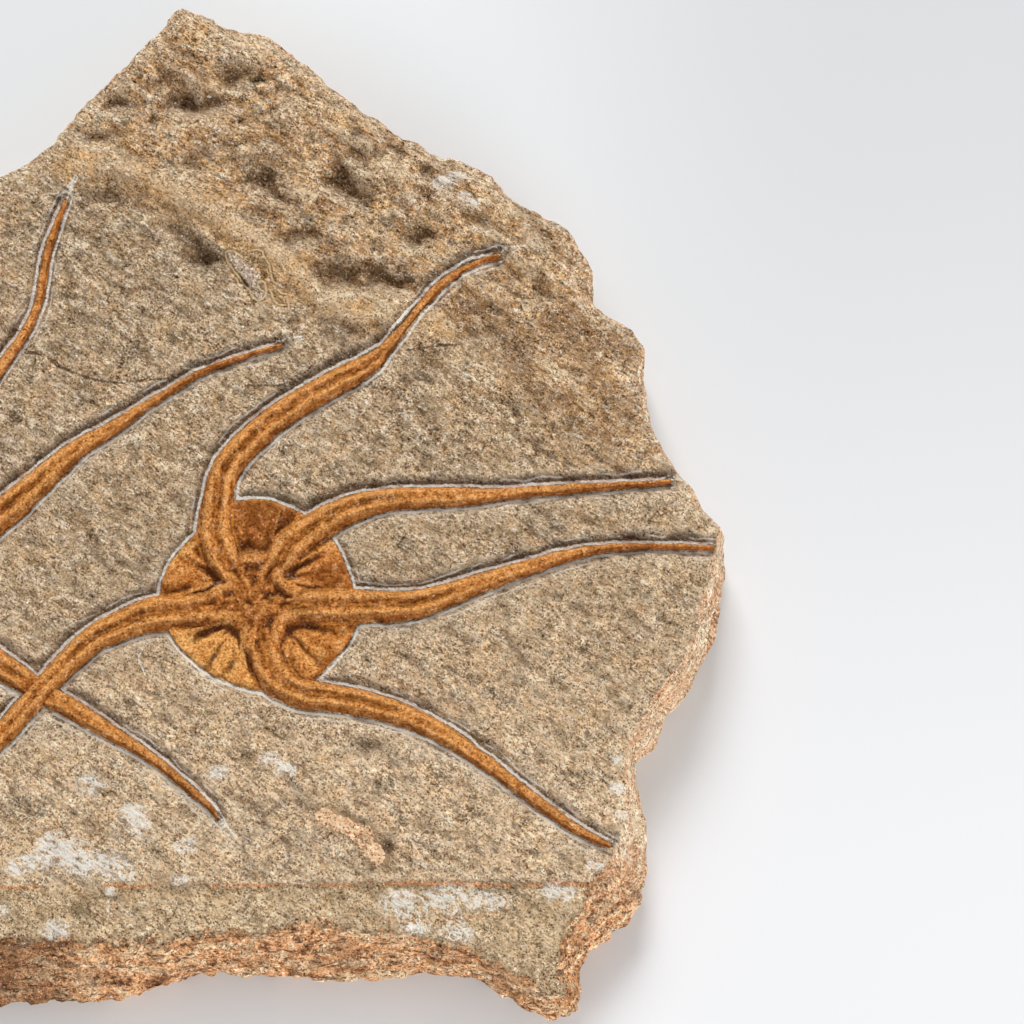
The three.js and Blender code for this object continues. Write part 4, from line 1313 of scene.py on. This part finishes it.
# %% Build the stars
def make_star(star):
    """The finished mesh of a star."""
    piece, xy = star_sheet(star, 0.3)
    height, crease, skin, reached, streaks = star_height(xy, star)
    height = mouth_height(xy, star, height)
    height += 0.09 * rough(xy, 1.1, 3, 45) * smooth(0, -0.5, distance_to(xy, star))
    if star == "star_2":
        over = distance_to(xy, "star_1")
        height = np.where(over < 3, np.minimum(height, 20.15 + 0.3 * np.maximum(0, over)), height)
    extrude_rim_down(1)
    points = points_of(piece)
    points[:len(xy), 2] = height
    points[len(xy):, 2] = height.mean()
    place_points(piece, points)
    calm_edge = np.r_[smooth(-0.1, -1.0, distance_to(xy, star)), np.zeros(len(points) - len(xy))]
    # How far each point lies below its surroundings, which the fossil paint turns into painted shade and
    # painted highlight.
    fine, wide = (hollows(piece, rounds) * calm_edge for rounds in (5, 40))
    points[len(xy):, 2] = STAR_BASE
    points[:, :2] = warp(points[:, :2])
    place_points(piece, points)
    bpy.ops.object.mode_set(mode="EDIT")
    bpy.ops.mesh.select_all(action="SELECT")
    bpy.ops.mesh.region_to_loop()
    bpy.ops.mesh.edge_face_add()
    bpy.ops.object.mode_set(mode="OBJECT")
    fair()
    from_mouth = np.linalg.norm(xy - mouth_of(star), axis=1)
    tone = np.array(SKIN_TONES[star])[sectors(xy, star)[0]] * skin * smooth(3, 8, from_mouth)
    tone += (1 - skin) * (0.5 - 0.3 * smooth(30, 75, reached) - 0.3 * smooth(14, 4, reached))
    below = np.zeros(len(points) - len(xy))
    carry(piece, fine=fine, wide=wide, lit=facing(piece, len(xy)), crease=np.r_[crease, below],
          tone=np.r_[tone, below], streak=np.r_[streaks, below])
    print(star, "hollows", fine.min().round(2), fine.max().round(2), wide.min().round(2), wide.max().round(2))
    return piece


# How pale the skin of the disc is between the arms, clockwise
SKIN_TONES = {"star_1": [-0.2, 0.35, 0.6, 1.05, 0.6], "star_2": [0.3, 0.6, 0.9, 0.7, 0.4]}
stars = {star: make_star(star) for star in ("star_1", "star_2")}


# %% [markdown]
# ## Fossil
# The stars are stained by iron, a rusty orange. Painted shade darkens the hollows and the slopes that face
# away from the lamp, and painted highlight brightens the folds and the slopes that face it.

# %% Fossil paint
def fossil_paint():
    paint = Paint("fossil", roughness=0.85, specular=0.15)
    tone, fine, wide = (paint.mask(name) for name in ("tone", "fine", "wide"))
    patch = paint.clouds(2.2, 4, seed=22)
    grain = paint.grains(0.25, seed=23)[0]
    dust = paint.clouds(0.5, 4, seed=24)
    fibre = paint.mask("streak") + 1.4 * paint.clouds(1.1, 4, seed=27) - 0.7
    broad = tone + 1.2 * paint.clouds(9, 3, seed=21) + 2.9 * patch - 2.0
    color = paint.mix(broad.fade(-0.2, 0.5), srgb(142, 80, 28), srgb(190, 112, 46))
    lit = paint.mask("lit")
    bluish = patch.fade(0.52, 0.66) * dust.fade(0.44, 0.6)
    lime = paint.clouds(1.3, 4, seed=33).fade(0.68, 0.73)
    pits = (dust + 0.25 * grain + 0.3 * patch).fade(0.64, 0.52)
    shade = 0.4 * grain + 1.9 * dust + 0.8 * paint.clouds(1.2, 3, seed=25) - 0.55
    color = paint.coats(
        color,
        (broad.fade(0.4, 1.3), 1, 240, 176, 96),
        (fibre.fade(0.0, 0.45), 0.5, 226, 154, 84),
        (fibre.fade(-0.05, -0.45), 0.45, 112, 58, 18),
        # Painted shade in the hollows and painted highlight on the crests and folds, at two widths.
        (wide.fade(0.02, 0.4), 1, 88, 42, 8),
        (wide.fade(-0.05, -0.4), 0.4, 220, 150, 80),
        (fine.fade(0.01, 0.12), 0.75, 88, 44, 14),
        (fine.fade(-0.01, -0.1), 0.5, 230, 166, 96),
        # Painted shade on slopes that face away from the lamp, and painted highlight on slopes that face it.
        (lit.fade(-0.1, -0.7), 0.5, 98, 50, 14),
        (lit.fade(0.08, 0.6), 0.3, 238, 166, 86),
        (paint.mask("crease"), 0.6, 244, 156, 64),
        (bluish, 0.45, 206, 156, 120),
        (lime, 0.7, 232, 200, 172),
        (pits, 0.5, 84, 42, 14))
    color = paint.grade(color, shade, 1.4, 2.1)
    return paint.finish(color, 0.3 * grain + dust + 0.8 * fibre - 0.3 * pits, 0.4)


fossil = fossil_paint()
for star, piece in stars.items():
    piece.data.materials.append(fossil)
    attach(piece, "root")
    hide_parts(f"{star}_disc", *[name for name in ARMS if name.startswith(star)])
